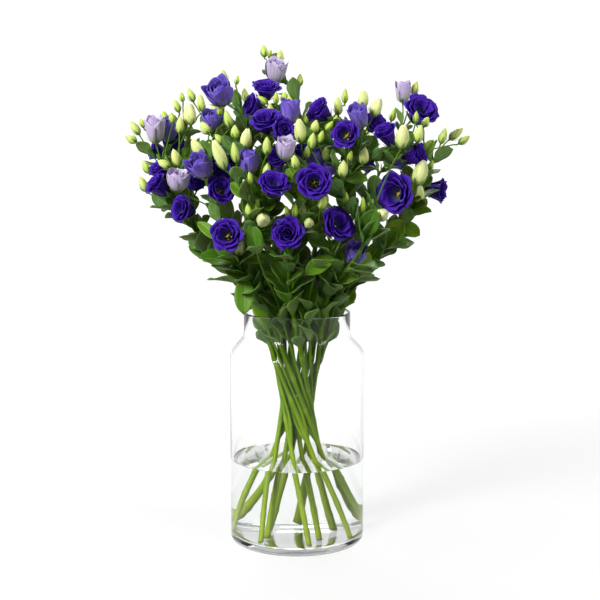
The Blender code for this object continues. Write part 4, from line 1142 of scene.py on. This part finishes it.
# Fresh stems are smooth and a little waxy: lime in the water, deeper green higher up, partly as
# painted shade on the backlit flower stalks, and darkened by painted shade in the middle of the
# bunch, with paler rings at the joints that once held leaves. Thin side shoots leave them above the
# water and climb in the gaps beside them.
def stem_finish():
    green = Finish("stem green", 0.42, Specular_IOR_Level=0.14)
    place = green.node("TexCoord", {}, {}, 3)
    height = green.node("SeparateXYZ", {}, {"Vector": place}, 2)
    rise = green.node("MapRange", {}, {"Value": height, "From Min": 0.02, "From Max": 0.50})
    # Deeper green higher up: partly the stem's own colour, partly painted shade on the backlit
    # flower stalks.
    body = green.ramp(
        rise,
        (0.0, (0.310, 0.480, 0.004)),
        (0.24, (0.250, 0.420, 0.003)),
        (0.36, (0.120, 0.260, 0.002)),
        (0.62, (0.052, 0.140, 0.002)),
        (1.0, (0.055, 0.150, 0.006)),
    )
    long_grain = green.node("Mapping", {}, {"Vector": place, "Scale": (500.0, 500.0, 22.0)})
    grain = green.noise(long_grain, 1.0, 3.0)
    patches = green.noise(place, 26.0, 2.0)
    lime = green.ramp(
        rise,
        (0.0, (0.460, 0.600, 0.020)),
        (0.40, (0.240, 0.420, 0.004)),
        (1.0, (0.120, 0.260, 0.006)),
    )
    body = green.blend(patches ** 2 * 1.3, body, lime)
    # Painted shade: stems near the middle of the bunch are darkened towards a near black green.
    flat = green.node("VectorMath", {"operation": "MULTIPLY"}, {0: place, 1: (1.0, 1.0, 0.0)})
    off_axis = green.node("VectorMath", {"operation": "LENGTH"}, {0: flat}, 1)
    painted_shade_inside = green.node("MapRange", {}, {"Value": off_axis, "From Min": 0.024, "From Max": 0.006})
    body = green.blend(painted_shade_inside * 0.75, body, (0.012, 0.040, 0.002))
    body = green.blend(green.value("tone") * 0.7, body, (0.340, 0.480, 0.050))
    green.colour(green.blend(grain * 0.40, body, (0.020, 0.065, 0.002)))
    green.roughness(0.34 + grain * 0.25)
    green.relief(grain, 0.00035)
    return green


def cut_finish():
    pale = Finish("cut stem end", 0.6)
    place = pale.node("TexCoord", {}, {}, 3)
    pith = pale.noise(place, 900.0, 2.0)
    pale.colour(pale.blend(pith, (0.30, 0.40, 0.14), (0.55, 0.58, 0.34)))
    pale.relief(pith, 0.0004)
    return pale


STALK_SIDES = 14
SHOOT_SIDES = 10
BRANCH_SIDES = 8
FOOT_POINTS = 69
ARCH_POINTS = 40
BRANCH_POINTS = 13

# Stalks swell towards their feet: widths at the foot, up the straight part and in the neck
FOOT_SWELL = (1.26, 1.12, 1.1)
FOOT_SWELL_END = 0.35

# The joints: how far apart they are, by how much the next stem's are moved, and how they swell
JOINT_SPACING = 0.055
JOINT_SHIFT = 0.37
JOINT_LENGTH = 0.0035
JOINT_SWELL = 0.18
JOINT_PALE = 0.8
CUT_SLANT = 0.0022

# Widths of a flower stalk at its fork, just beyond it and at its head
BRANCH_WIDTHS = (0.0019, BRANCH_RADIUS, PEDICEL_RADIUS)
TWIG_WIDTHS = (0.0014, 0.0011, 0.0010)
FORK_SHARE = 0.12
NECK_OF_HEAD = 0.003
WIDEST_SEAT = 0.0024

# Each shoot is given by its turn round the bunch's axis and its distance from it, as a share
SHOOT_FOOT = 0.135
SHOOT_PARTING = 0.070
SHOOT_TOP = 0.43
SHOOT_WIDTHS = (0.0016, 0.0025, 0.0014)
SHOOT_ROOM = 0.002
OUTER_SHOOTS = ((20, 1.0), (-24, 0.68))
INNER_SHOOTS = ((45, 1.0),)


def stalk_line(stem):
    """Points along a stalk, straight from the foot to the neck and then up its arch."""
    foot, neck = np.array(stem.knots[0]), np.array(stem.knots[1])
    straight = np.linspace(0.0, 1.0, FOOT_POINTS + 1)[:-1, None]
    arch = hold(stem.knots[1:], np.linspace(0.0, 1.0, ARCH_POINTS))
    return np.vstack([foot + (neck - foot) * straight, arch])


def grow_stalk(growth, stem, line):
    run = np.append(0.0, np.cumsum(np.linalg.norm(np.diff(line, axis=0), axis=1)))
    neck = run[FOOT_POINTS - 1]
    widths = [swell * STALK_RADIUS for swell in FOOT_SWELL] + [CROWN_RADIUS]
    radii = np.interp(run, [0.0, FOOT_SWELL_END * neck, neck, run[-1]], widths)
    joint = (run / JOINT_SPACING + JOINT_SHIFT * stem.index) % 1.0
    swollen = np.exp(-((np.abs(joint - 0.5) * JOINT_SPACING / JOINT_LENGTH) ** 2))
    rings = rings_round(line, radii * (1.0 + JOINT_SWELL * swollen), STALK_SIDES)
    angles = np.arange(STALK_SIDES) * math.tau / STALK_SIDES + 1.7 * stem.index
    rings[0] += np.outer(CUT_SLANT * np.cos(angles), stem.slope.normalized())
    growth.skin(rings, [0] * STALK_SIDES, 0.0)
    growth.values["tone"][-1] = np.repeat(JOINT_PALE * swollen, STALK_SIDES)
    growth.looks[-2][:] = 1


def grow_shoots(growth, stem, line):
    rise = np.clip((line[:, 2] - SHOOT_FOOT) / SHOOT_PARTING, 0.0, 1.0)
    rise = rise * rise * (3.0 - 2.0 * rise)
    for degrees, distance in OUTER_SHOOTS if stem.index < OUTER_STEMS else INNER_SHOOTS:
        swing = math.radians(degrees) * rise
        nearer = 1.0 - (1.0 - distance) * rise
        top = SHOOT_TOP + 0.03 * math.sin(2.3 * stem.index + 0.1 * degrees)
        shown = (line[:, 2] > SHOOT_FOOT) & (line[:, 2] < top)
        x = nearer * (line[:, 0] * np.cos(swing) - line[:, 1] * np.sin(swing))
        y = nearer * (line[:, 0] * np.sin(swing) + line[:, 1] * np.cos(swing))
        shoot = np.stack([x, y, line[:, 2]], axis=1)[shown]
        stem.shoots.append([Vector(point) for point in shoot])
        room.fill(stem.index, shoot, [SHOOT_ROOM] * len(shoot))
        thin = np.interp(np.linspace(0.0, 1.0, len(shoot)), [0.0, FORK_SHARE, 1.0], SHOOT_WIDTHS)
        growth.skin(rings_round(shoot, thin, SHOOT_SIDES), [0] * SHOOT_SIDES, 0.1)


def grow_branch(growth, branch):
    head = branch.head
    places = np.linspace(0.0, 1.0, BRANCH_POINTS)
    line = hold(branch.knots, places)[:-1]
    ends = [head.base - head.axis * NECK_OF_HEAD, head.base + head.axis * 0.001]
    widths = TWIG_WIDTHS if branch.carrier else BRANCH_WIDTHS
    widths = np.interp(places, [0.0, FORK_SHARE, 1.0], widths)[:-1]
    widths = np.append(widths, [0.0013, min(WIDEST_SEAT, 0.12 * head.width)])
    rings = rings_round(np.vstack([line, ends]), widths, BRANCH_SIDES)
    growth.skin(rings, [0] * BRANCH_SIDES, 0.12 + 0.1 * math.sin(9.0 * head.place))


stem_green = stem_finish()
cut_end = cut_finish()
for stem in stems:
    growth = Growth()
    line = stalk_line(stem)
    grow_shoots(growth, stem, line)
    grow_stalk(growth, stem, line)
    for branch in stem.branches:
        grow_branch(growth, branch)
    stalks = growth.made(f"stalks_{stem.index + 1:02d}", [stem_green, cut_end])
    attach(stalks, "root")
    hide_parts(f"stem_{stem.index + 1:02d}")


# Leaves grow in opposite pairs, each pair turned about a quarter from the last, and clasp the stem
# with no stalk of their own. They are soft, broad and a little cupped, with a pale midrib and a
# lighter underside. Small pointed bracts sit at the forks between the flower stalks.
LEAF_GRID = (11, 7)
BRACT_GRID = (8, 5)
BLADE_THICK = 0.0007
BRACT_THICK = 0.0006
BRACT_LENGTH = 0.020
BRACT_WIDTH = 0.0062
LEAF_FULLNESS = 0.60
WIDEST_SHARE_POWER = 1.12
CLASP_HALF_WIDTH = 0.0022
TIP_HALF_WIDTH = 0.0002

# Filling leaves grow wherever there is room. Heights are where they start on stalks, shoots and
# arches, and the ways are the swings and spreads that a pair of them tries.
LOW_FILL_HEIGHT = 0.288
LOW_FILL_SIZE = 0.62
SHOOT_FILL_HEIGHT = 0.30
SHOOT_FILL_SIZE = 0.75
ARCH_FILL_HEIGHT = 0.325
ARCH_FILL_SIZES = (0.86, 0.70, 1.0, 0.78)
FILL_SPACING = 0.030
FILL_WAYS = ((0.0, -0.6, 0.6), ((0.50, 0.12), (0.30, 0.20)))
BRANCH_FILL_END = 0.50
BRANCH_FILL_STEPS = 5


def leaf_side(name, face, painted_shade_and_mottle, painted_light, vein, roughness):
    leaf = Finish(name, roughness, Specular_IOR_Level=0.20, Subsurface_Weight=0.05)
    along = leaf.value("along")
    off_rib = leaf.node("Math", {"operation": "ABSOLUTE"}, {0: leaf.value("across")})
    tone = leaf.value("tone")
    place = leaf.node("TexCoord", {}, {}, 3)
    mottle = leaf.noise(place, 160.0, 3.0)
    cells = leaf.noise(place, 1400.0, 2.0)
    # Tone paints shade and light: leaves inside the bunch take the painted shade colour, and lit
    # ones at its outside and in the neck the painted light colour. The mottle also darkens towards
    # the shade colour.
    body = leaf.ramp(tone, (0.0, painted_shade_and_mottle), (0.55, face), (1.0, painted_light))
    body = leaf.blend(mottle * 0.45, body, painted_shade_and_mottle)
    rib = leaf.node("MapRange", {}, {"Value": off_rib, "From Min": 0.11, "From Max": 0.015})
    sweep = leaf.node("Math", {"operation": "SINE"}, {0: (along * 1.0 - off_rib * 0.34) * 58.0})
    side_veins = leaf.node("MapRange", {}, {"Value": sweep, "From Min": 0.90, "From Max": 1.0})
    body = leaf.blend(side_veins * 0.28, body, vein)
    leaf.colour(leaf.blend(rib * (0.95 - along * 0.45), body, vein))
    leaf.roughness(roughness - 0.10 + mottle * 0.22)
    leaf.relief(rib * -1.0 - side_veins * 0.45 + cells * 0.10, 0.0006)
    return leaf


def blade(leaf, size, phase):
    """Points over a leaf, cupped between midrib and edge, with a slow wave along the edge."""
    rows, columns = size
    grid = np.empty((rows, columns, 3))
    for row, share in enumerate(np.linspace(0.0, 1.0, rows).tolist()):
        half = 0.0
        if share < 1.0:
            arched = math.sin(math.pi * share**WIDEST_SHARE_POWER)
            half = LEAF_FULLNESS * leaf.width * arched**0.60
        half = max(half, CLASP_HALF_WIDTH * (1.0 - 5.0 * share), TIP_HALF_WIDTH)
        middle = leaf.midrib(share)
        for column, across in enumerate(np.linspace(-1.0, 1.0, columns).tolist()):
            cup = LEAF_FOLD * half * (0.35 * abs(across) + 0.65 * across**2)
            wave = 0.16 * half * across**2 * math.sin(9.0 * share + phase + 1.3 * across)
            curl = -0.10 * half * max(0.0, share - 0.8) * 5.0 * (1.0 - abs(across))
            lift = leaf.upper * (cup + wave + curl)
            grid[row, column] = middle + leaf.side * (half * across) + lift
    return grid


def painted_shade_and_light_tone(leaf, chance):
    """From 0 to 1: painted shade darkens leaves inside the bunch, while painted light brightens
    those at its outside, by a random amount, and those in the neck.
    """
    middle = leaf.midrib(0.6)
    half = float(np.interp(middle.z, BUNCH_HEIGHTS, BUNCH_HALF_WIDTHS))
    out = math.hypot(middle.x / half, middle.y / (BUNCH_DEPTH * half))
    outside = min(max((out - 0.25) / 0.55, 0.0), 1.0)
    painted_light_in_neck = min(max((0.40 - middle.z) / 0.06, 0.0), 1.0)
    return min(1.0, outside * (0.45 + 0.55 * (0.5 + 0.5 * math.sin(chance))) + 0.35 * painted_light_in_neck)


def fill_arch(stem, room):
    path = [point for point in dense(stem.knots) if point.z > ARCH_FILL_HEIGHT]
    turn = LEAF_TURN * stem.index + 0.25 * math.pi
    index = 3
    count = 0
    while index < len(path) - 1:
        size = ARCH_FILL_SIZES[(count + stem.index) % len(ARCH_FILL_SIZES)]
        leaf_pair(stem, path, index, turn, room, size, FILL_WAYS)
        turn += 0.5 * math.pi + 0.3
        count += 1
        index += int(FILL_SPACING / STEP)


def grow_bracts(growth, branch):
    fork = branch.knots[0]
    way = (branch.knots[1] - fork).normalized()
    out = way.cross(Vector((0.3, 0.2, 1.0))).normalized()
    for hand in (-1.0, 1.0):
        aim = way * 0.9 + out * (0.55 * hand)
        bract = Leaf(fork, aim, -out * hand, BRACT_LENGTH, BRACT_WIDTH, 0.05)
        growth.sheet(blade(bract, BRACT_GRID, branch.head.place), BRACT_THICK, 0, 1, 0.6)


leaf_face = leaf_side(
    "leaf face",
    face=(0.062, 0.190, 0.008),
    painted_shade_and_mottle=(0.016, 0.068, 0.003),
    painted_light=(0.170, 0.350, 0.012),
    vein=(0.19, 0.34, 0.05),
    roughness=0.42,
)
leaf_back = leaf_side(
    "leaf back",
    face=(0.110, 0.250, 0.055),
    painted_shade_and_mottle=(0.040, 0.110, 0.022),
    painted_light=(0.185, 0.350, 0.070),
    vein=(0.24, 0.40, 0.13),
    roughness=0.58,
)
for stem in stems:
    low = [point for point in dense(stem.knots) if point.z > LOW_FILL_HEIGHT]
    leaf_pair(stem, low, 1, 1.7 * stem.index, room, LOW_FILL_SIZE, FILL_WAYS)
    for shoot in stem.shoots:
        high = [point for point in dense(shoot) if point.z > SHOOT_FILL_HEIGHT]
        for index in (1, 6, 11, len(high) - 3):
            turn = 0.9 * index + stem.index
            leaf_pair(stem, high, index, turn, room, SHOOT_FILL_SIZE, FILL_WAYS)
    fill_arch(stem, room)
for stem in stems:
    for number, branch in enumerate(stem.branches):
        way = dense(branch.knots)
        for index in range(1, int(BRANCH_FILL_END * len(way)), BRANCH_FILL_STEPS):
            size = 0.40 + 0.26 * (1.0 - index / len(way)) + 0.08 * math.sin(5.0 * number + index)
            leaf_pair(stem, way, index, 1.3 * number + 1.6 * index, room, size, FILL_WAYS)
for stem in stems:
    growth = Growth()
    for number, leaf in enumerate(stem.leaves):
        # Each leaf's tone holds painted shade inside the bunch and painted light at its outside and
        # in the neck.
        tone = painted_shade_and_light_tone(leaf, 12.9 * number + 3.7 * stem.index + 40.0 * leaf.root.x)
        growth.sheet(blade(leaf, LEAF_GRID, 2.1 * number), BLADE_THICK, 0, 1, tone)
    for branch in stem.branches:
        if branch.carrier:
            grow_bracts(growth, branch)
    leaves = growth.made(f"leaves_{stem.index + 1:02d}", [leaf_face, leaf_back])
    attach(leaves, "root")
    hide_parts(f"stem_{stem.index + 1:02d}")


# A bud is a spindle of petals rolled round each other, lime at first and cream as it swells, held
# at the base by five narrow green sepals with points that stand free. The smallest are all green.
BUD_GIRTH = 0.60
BUD_REACH = 1.06
BUD_GRID = (13, 30)
BUD_PETALS = 3.0
BUD_TWIST = 1.5
RIPE_WIDTH = 0.0155
RIPE_LIP = 0.06
SEPAL_POINTS = 5
SEPAL_THICK = 0.0005
SEPAL_TAPER = (1.0, 1.0, 0.92, 0.80, 0.62, 0.42, 0.22, 0.04)
OFF_FLOWER = 0.0005
WIDEST_CALYX = 0.0028
SEAT_SWELL = (0.55, 1.0, 1.25, 1.2, 0.9)
SEAT_SIDES = 10


def bulge(control, places):
    """Radius and height, as shares, along a curve with four control points."""
    t = np.asarray(places)[..., None]
    a, b, c, d = (np.array(point) for point in control)
    return a * (1 - t) ** 3 + b * (3 * t * (1 - t) ** 2) + c * (3 * t * t * (1 - t)) + d * t**3


def bud_finish():
    bud = Finish("rolled bud petals", 0.45, Subsurface_Weight=0.12, Sheen_Weight=0.15)
    along, tone = bud.value("along"), bud.value("tone")
    place = bud.node("TexCoord", {}, {}, 3)
    drawn = bud.node("Mapping", {}, {"Vector": place, "Scale": (420.0, 420.0, 60.0)})
    streaks = bud.noise(drawn, 1.0)
    lime = bud.ramp(
        along,
        (0.0, (0.28, 0.48, 0.020)),
        (0.30, (0.60, 0.76, 0.080)),
        (1.0, (0.50, 0.68, 0.045)),
    )
    cream = bud.ramp(
        along,
        (0.0, (0.46, 0.64, 0.06)),
        (0.40, (0.86, 0.92, 0.34)),
        (1.0, (0.92, 0.92, 0.46)),
    )
    body = bud.blend(tone, lime, cream)
    edge = bud.value("across")
    body = bud.blend(edge ** 3 * 0.5, body, (0.30, 0.44, 0.08))
    bud.colour(bud.blend(streaks * 0.30, body, (0.30, 0.46, 0.04)))
    bud.relief(streaks, 0.0002)
    return bud


def sepal_finish():
    sepal = Finish("sepal green", 0.48, Subsurface_Weight=0.05)
    tone = sepal.value("tone")
    off_rib = sepal.node("Math", {"operation": "ABSOLUTE"}, {0: sepal.value("across")})
    grain = sepal.noise(sepal.node("TexCoord", {}, {}, 3), 500.0)
    body = sepal.blend(tone, (0.055, 0.165, 0.014), (0.205, 0.380, 0.040))
    body = sepal.blend(off_rib ** 2 * 0.45, body, (0.30, 0.45, 0.12))
    sepal.colour(sepal.blend(grain * 0.3, body, (0.05, 0.13, 0.01)))
    sepal.relief(grain, 0.0002)
    return sepal


def around_axis(head):
    side = np.array(head.axis.orthogonal().normalized())
    return side, np.cross(np.array(head.axis), side), np.array(head.axis), np.array(head.base)


def turned_grid(head, out, up, angle):
    """Points at distances out from a head's axis, up along it and turned round it."""
    side, over, axis, base = around_axis(head)
    return (
        base
        + axis * up[..., None]
        + side * (np.cos(angle) * out)[..., None]
        + over * (np.sin(angle) * out)[..., None]
    )


def sepals(growth, head, control, reach, look, tone, free, girth=0.5):
    """Five narrow pointed sepals that hug the flower from its base and stand off at their tips."""
    side, over, axis, base = around_axis(head)
    rows = len(SEPAL_TAPER)
    curve = bulge(control, np.linspace(0.0, reach, rows)) * (girth * head.width, head.length)
    seat = min(WIDEST_CALYX, 0.16 * head.width)
    out = np.maximum(curve[:, 0], seat) + OFF_FLOWER
    out += free * 0.5 * head.width * np.linspace(0.0, 1.0, rows) ** 3
    broad = 0.105 * head.width + OFF_FLOWER
    taper = broad * np.array(SEPAL_TAPER)
    for number in range(5):
        angle = math.tau * number / 5 + 2.4 * head.place
        turn = angle + np.outer(taper, np.linspace(-1.0, 1.0, SEPAL_POINTS)) / out[:, None]
        grid = turned_grid(head, out[:, None], curve[:, 1, None], turn)
        growth.sheet(grid, SEPAL_THICK, look, look, tone)
    radii = seat * np.array(SEAT_SWELL) + 0.0002
    line = base + axis * (np.linspace(-0.0010, 0.12 * head.length, len(radii)))[:, None]
    growth.skin(rings_round(line, radii, SEAT_SIDES), [look] * SEAT_SIDES, tone * 0.6)


def grow_bud(growth, head):
    rows, sides = BUD_GRID
    cream = min(max((head.width * 1000.0 - 9.0) / 9.0, 0.0), 1.0)
    ripe = head.width > RIPE_WIDTH
    control = ((0.18, 0.0), (0.80, 0.10), (1.25, 0.60), (0.28 if ripe else 0.04, 1.0))
    shares = np.linspace(0.0, 1.0, rows)
    curve = bulge(control, shares) * (BUD_GIRTH * head.width, BUD_REACH * head.length)
    shares = shares[:, None]
    angles = math.tau * np.arange(sides) / sides
    turn = angles[None] + BUD_TWIST * shares + head.place
    fold = (turn * BUD_PETALS / math.tau) % 1.0
    out = curve[:, 0, None] * (1.0 - (0.06 + 0.20 * shares**1.5) * fold)
    lip = RIPE_LIP * head.length if ripe else 0.0
    up = curve[:, 1, None] + lip * shares**6 * (1 - fold)
    growth.skin(turned_grid(head, out, up, angles[None]), [0] * sides, cream)
    growth.values["across"][-1] = fold.ravel()
    reach = 0.62 if cream < 0.4 else 0.50
    sepals(growth, head, control, reach, 1, 0.25 + 0.6 * (1.0 - cream), 0.10, BUD_GIRTH)


bud_petals = bud_finish()
sepal_green = sepal_finish()
for stem in stems:
    growth = Growth()
    for branch in stem.branches:
        if branch.head.tint == "bud":
            grow_bud(growth, branch.head)
    if growth.count:
        buds = growth.made(f"buds_{stem.index + 1:02d}", [bud_petals, sepal_green])
        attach(buds, "root")
        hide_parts(f"stem_{stem.index + 1:02d}")


# An opened bloom is double: whorls of broad satin petals with a ruffled rim, each rolled under its
# neighbour, on five sepals. The violet ones lie open like small roses, their throat painted near
# black as shade and their rim painted lighter as a highlight, and some show the yellow stigma and
# anthers.
# The younger, lavender and pale ones are still cups.
def petal_face(name, throat_and_painted_shade, body, edge, vein, gloss):
    petal = Finish(name, 0.5, Specular_IOR_Level=0.20, Sheen_Weight=0.08, Sheen_Roughness=0.4)
    petal.shader.inputs["Sheen Tint"].default_value = (*edge, 1.0)
    along, tone = petal.value("along"), petal.value("tone")
    across = petal.value("across")
    place = petal.node("TexCoord", {}, {}, 3)
    fan = petal.noise(petal.at(across * 11.0, along * 1.6, tone * 30.0), 1.0, 3.0)
    fine = petal.noise(petal.at(across * 42.0, along * 3.0, tone * 30.0), 1.0, 2.0)
    patches = petal.noise(place, 75.0, 2.0)
    # On violet faces the throat colour is painted shade, and on violet petals the lighter edge
    # colour is a painted highlight on the rims.
    skin = petal.ramp(along, (0.0, throat_and_painted_shade), (0.30, throat_and_painted_shade), (0.62, body), (0.90, body), (1.0, edge))
    streaks = petal.node("MapRange", {}, {"Value": fan, "From Min": 0.42, "From Max": 0.78})
    skin = petal.blend(streaks * 0.85, skin, vein)
    skin = petal.blend(patches * patches * 0.35, skin, edge)
    petal.colour(petal.blend(tone * 0.25, skin, edge))
    petal.roughness(gloss + fan * 0.22)
    petal.relief(fan * 0.7 + fine * 0.3, 0.0009)
    return petal


def stigma_finish():
    yellow = Finish("stigma and anthers", 0.55)
    grain = yellow.noise(yellow.node("TexCoord", {}, {}, 3), 1800.0)
    lower = yellow.blend(yellow.value("tone"), (0.20, 0.30, 0.04), (0.62, 0.44, 0.03))
    yellow.colour(yellow.blend(grain * 0.4, lower, (0.35, 0.24, 0.02)))
    yellow.relief(grain, 0.0003)
    return yellow


# Whorls from the outside in: number of petals, half their width in degrees, four control points of
# their long curve (out, up), how far one edge lies outside the other, and the depth of the ruffle.
OPEN_WHORLS = (
    (5, 52, ((0.10, 0.00), (0.62, 0.05), (0.62, 0.98), (1.05, 0.80)), 0.13, 0.105),
    (5, 50, ((0.09, 0.03), (0.55, 0.12), (0.46, 0.98), (0.82, 0.94)), 0.12, 0.100),
    (4, 58, ((0.08, 0.06), (0.46, 0.18), (0.36, 0.90), (0.57, 0.98)), 0.12, 0.080),
)
HEART_WHORLS = (
    (3, 68, ((0.06, 0.10), (0.34, 0.25), (0.26, 0.80), (0.34, 0.95)), 0.14, 0.060),
    (2, 85, ((0.05, 0.12), (0.20, 0.30), (0.16, 0.70), (0.13, 0.90)), 0.12, 0.040),
)
CUP_WHORLS = (
    (3, 72, ((0.14, 0.00), (1.04, 0.02), (0.98, 0.62), (1.12, 0.98)), 0.12, 0.100),
    (3, 72, ((0.12, 0.03), (0.96, 0.06), (0.88, 0.66), (0.86, 1.02)), 0.12, 0.080),
    (3, 70, ((0.10, 0.06), (0.66, 0.16), (0.66, 0.70), (0.42, 0.96)), 0.14, 0.040),
    (2, 90, ((0.08, 0.10), (0.40, 0.25), (0.40, 0.75), (0.18, 0.90)), 0.14, 0.030),
)

# Sizes of a petal's mesh, and of the stigma and anthers in the throat
PETAL_ROWS = 12
FEW_PETALS_COLUMNS = 13
MANY_PETALS_COLUMNS = 11
PETAL_THICK = 0.00035
OFF_SEAT = 0.0012
ALWAYS_CLOSED_WIDTH = 0.036
STYLE_SHARES = (0.02, 0.3, 0.6, 0.8, 1.0)
STYLE_WIDTHS = (0.0014, 0.0022, 0.0018, 0.0009, 0.0007)
STIGMA_SIZE = 0.0019
STIGMA_SPREAD = 0.0013
ANTHER_SIZE = 0.0011
ANTHER_SPREAD = 0.0046
ANTHER_SHARE = 0.86
GRAIN_SWELL = (0.15, 0.7, 0.95, 0.95, 0.7, 0.15)


def petals(growth, head, whorls):
    shares = np.linspace(0.0, 1.0, PETAL_ROWS)[:, None]
    for depth, (count, half, control, roll, ruffle) in enumerate(whorls):
        across = FEW_PETALS_COLUMNS if count < 4 else MANY_PETALS_COLUMNS
        columns = np.linspace(-1.0, 1.0, across)[None]
        for number in range(count):
            chance = 7.0 * number + 3.1 * depth + 1.9 * head.place
            size = 1.0 + 0.06 * math.sin(5.3 * chance)
            point = 0.20 * np.abs(columns) ** 3
            if count == 3 and depth < 2:
                point = 0.34 * np.abs(columns) ** 1.8
            reach = shares * (1.0 - point) * (0.97 + 0.03 * np.sin(3.0 * columns + chance))
            curve = bulge(control, reach)
            wave = np.sin(4.6 * columns + 2.0 * chance) + 0.5 * np.sin(9.7 * columns + chance)
            rise = shares**3 * ruffle * wave
            out = curve[..., 0] * (1.0 + roll * columns) * size + 0.55 * rise
            up = curve[..., 1] + 0.45 * rise * np.cos(2.2 * columns + chance)
            width = math.radians(half) * (0.80 + 0.20 * np.sin(0.5 * math.pi * shares))
            turn = math.tau * (number + 0.5 * depth) / count + 2.4 * head.place
            angle = turn + width * columns + 0.10 * math.sin(3.7 * chance)
            grid = turned_grid(head, out * 0.5 * head.width, OFF_SEAT + head.length * up, angle)
            tone = 0.5 + 0.5 * math.sin(4.1 * chance)
            growth.sheet(grid, PETAL_THICK, 0, 1, tone, reach)


def heart(growth, head, look):
    """The green ovary and style, the two-lobed stigma and the five anthers round it."""
    side, over, axis, base = around_axis(head)
    tall = 0.52 * head.length
    line = base + axis * (np.array(STYLE_SHARES) * tall)[:, None]
    growth.skin(rings_round(line, STYLE_WIDTHS, SEAT_SIDES), [look] * SEAT_SIDES, 0.0)
    spots = [
        (axis * tall + side * (STIGMA_SPREAD * hand), STIGMA_SIZE) for hand in (-1.0, 1.0)
    ]
    for number in range(5):
        angle = math.tau * number / 5 + head.place
        out = side * math.cos(angle) + over * math.sin(angle)
        spots.append((axis * (ANTHER_SHARE * tall) + out * ANTHER_SPREAD, ANTHER_SIZE))
    for place, size in spots:
        line = base + place + axis * (np.linspace(-1.0, 1.0, len(GRAIN_SWELL)) * size)[:, None]
        grain = rings_round(line, size * np.array(GRAIN_SWELL), 8)
        growth.skin(grain, [look] * 8, 1.0)


# The violet face's near black throat is painted shade. The lighter edge on both violet sides is a
# painted highlight on the rims.
violet_face = petal_face(
    "violet petal face",
    throat_and_painted_shade=(0.003, 0.000, 0.012),
    body=(0.034, 0.002, 0.310),
    edge=(0.120, 0.034, 0.620),
    vein=(0.010, 0.000, 0.090),
    gloss=0.42,
)
violet_back = petal_face(
    "violet petal back",
    throat_and_painted_shade=(0.22, 0.28, 0.18),
    body=(0.044, 0.004, 0.320),
    edge=(0.090, 0.024, 0.500),
    vein=(0.018, 0.001, 0.130),
    gloss=0.50,
)
lavender_face = petal_face(
    "lavender petal face",
    throat_and_painted_shade=(0.40, 0.36, 0.50),
    body=(0.260, 0.180, 0.660),
    edge=(0.070, 0.022, 0.400),
    vein=(0.075, 0.030, 0.440),
    gloss=0.42,
)
lavender_back = petal_face(
    "lavender petal back",
    throat_and_painted_shade=(0.70, 0.72, 0.62),
    body=(0.230, 0.160, 0.600),
    edge=(0.070, 0.024, 0.400),
    vein=(0.075, 0.034, 0.420),
    gloss=0.48,
)
pale_face = petal_face(
    "pale petal face",
    throat_and_painted_shade=(0.60, 0.62, 0.48),
    body=(0.72, 0.64, 0.78),
    edge=(0.36, 0.25, 0.58),
    vein=(0.36, 0.26, 0.60),
    gloss=0.44,
)
pale_back = petal_face(
    "pale petal back",
    throat_and_painted_shade=(0.72, 0.74, 0.46),
    body=(0.76, 0.70, 0.80),
    edge=(0.38, 0.27, 0.60),
    vein=(0.36, 0.26, 0.60),
    gloss=0.50,
)
yellow = stigma_finish()
FACES = {
    "violet": [violet_face, violet_back],
    "lavender": [lavender_face, lavender_back],
    "pale": [pale_face, pale_back],
}
for group, members in enumerate(BLOOMS):
    growth = Growth()
    for head in heads:
        if head.group != group:
            continue
        if head.tint == "violet":
            closed = head.place % 3 == 1 or head.width < ALWAYS_CLOSED_WIDTH
            petals(growth, head, OPEN_WHORLS + (HEART_WHORLS if closed else ()))
            if not closed:
                heart(growth, head, 3)
            hug = OPEN_WHORLS[0][2]
        else:
            petals(growth, head, CUP_WHORLS)
            hug = CUP_WHORLS[0][2]
        sepals(growth, head, hug, 0.42, 2, 0.5, 0.16)
    tint = members[0][-1]
    bloom = growth.made(f"petals_{group + 1:02d}", [*FACES[tint], sepal_green, yellow])
    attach(bloom, "root")
    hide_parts(f"bloom_{group + 1:02d}")
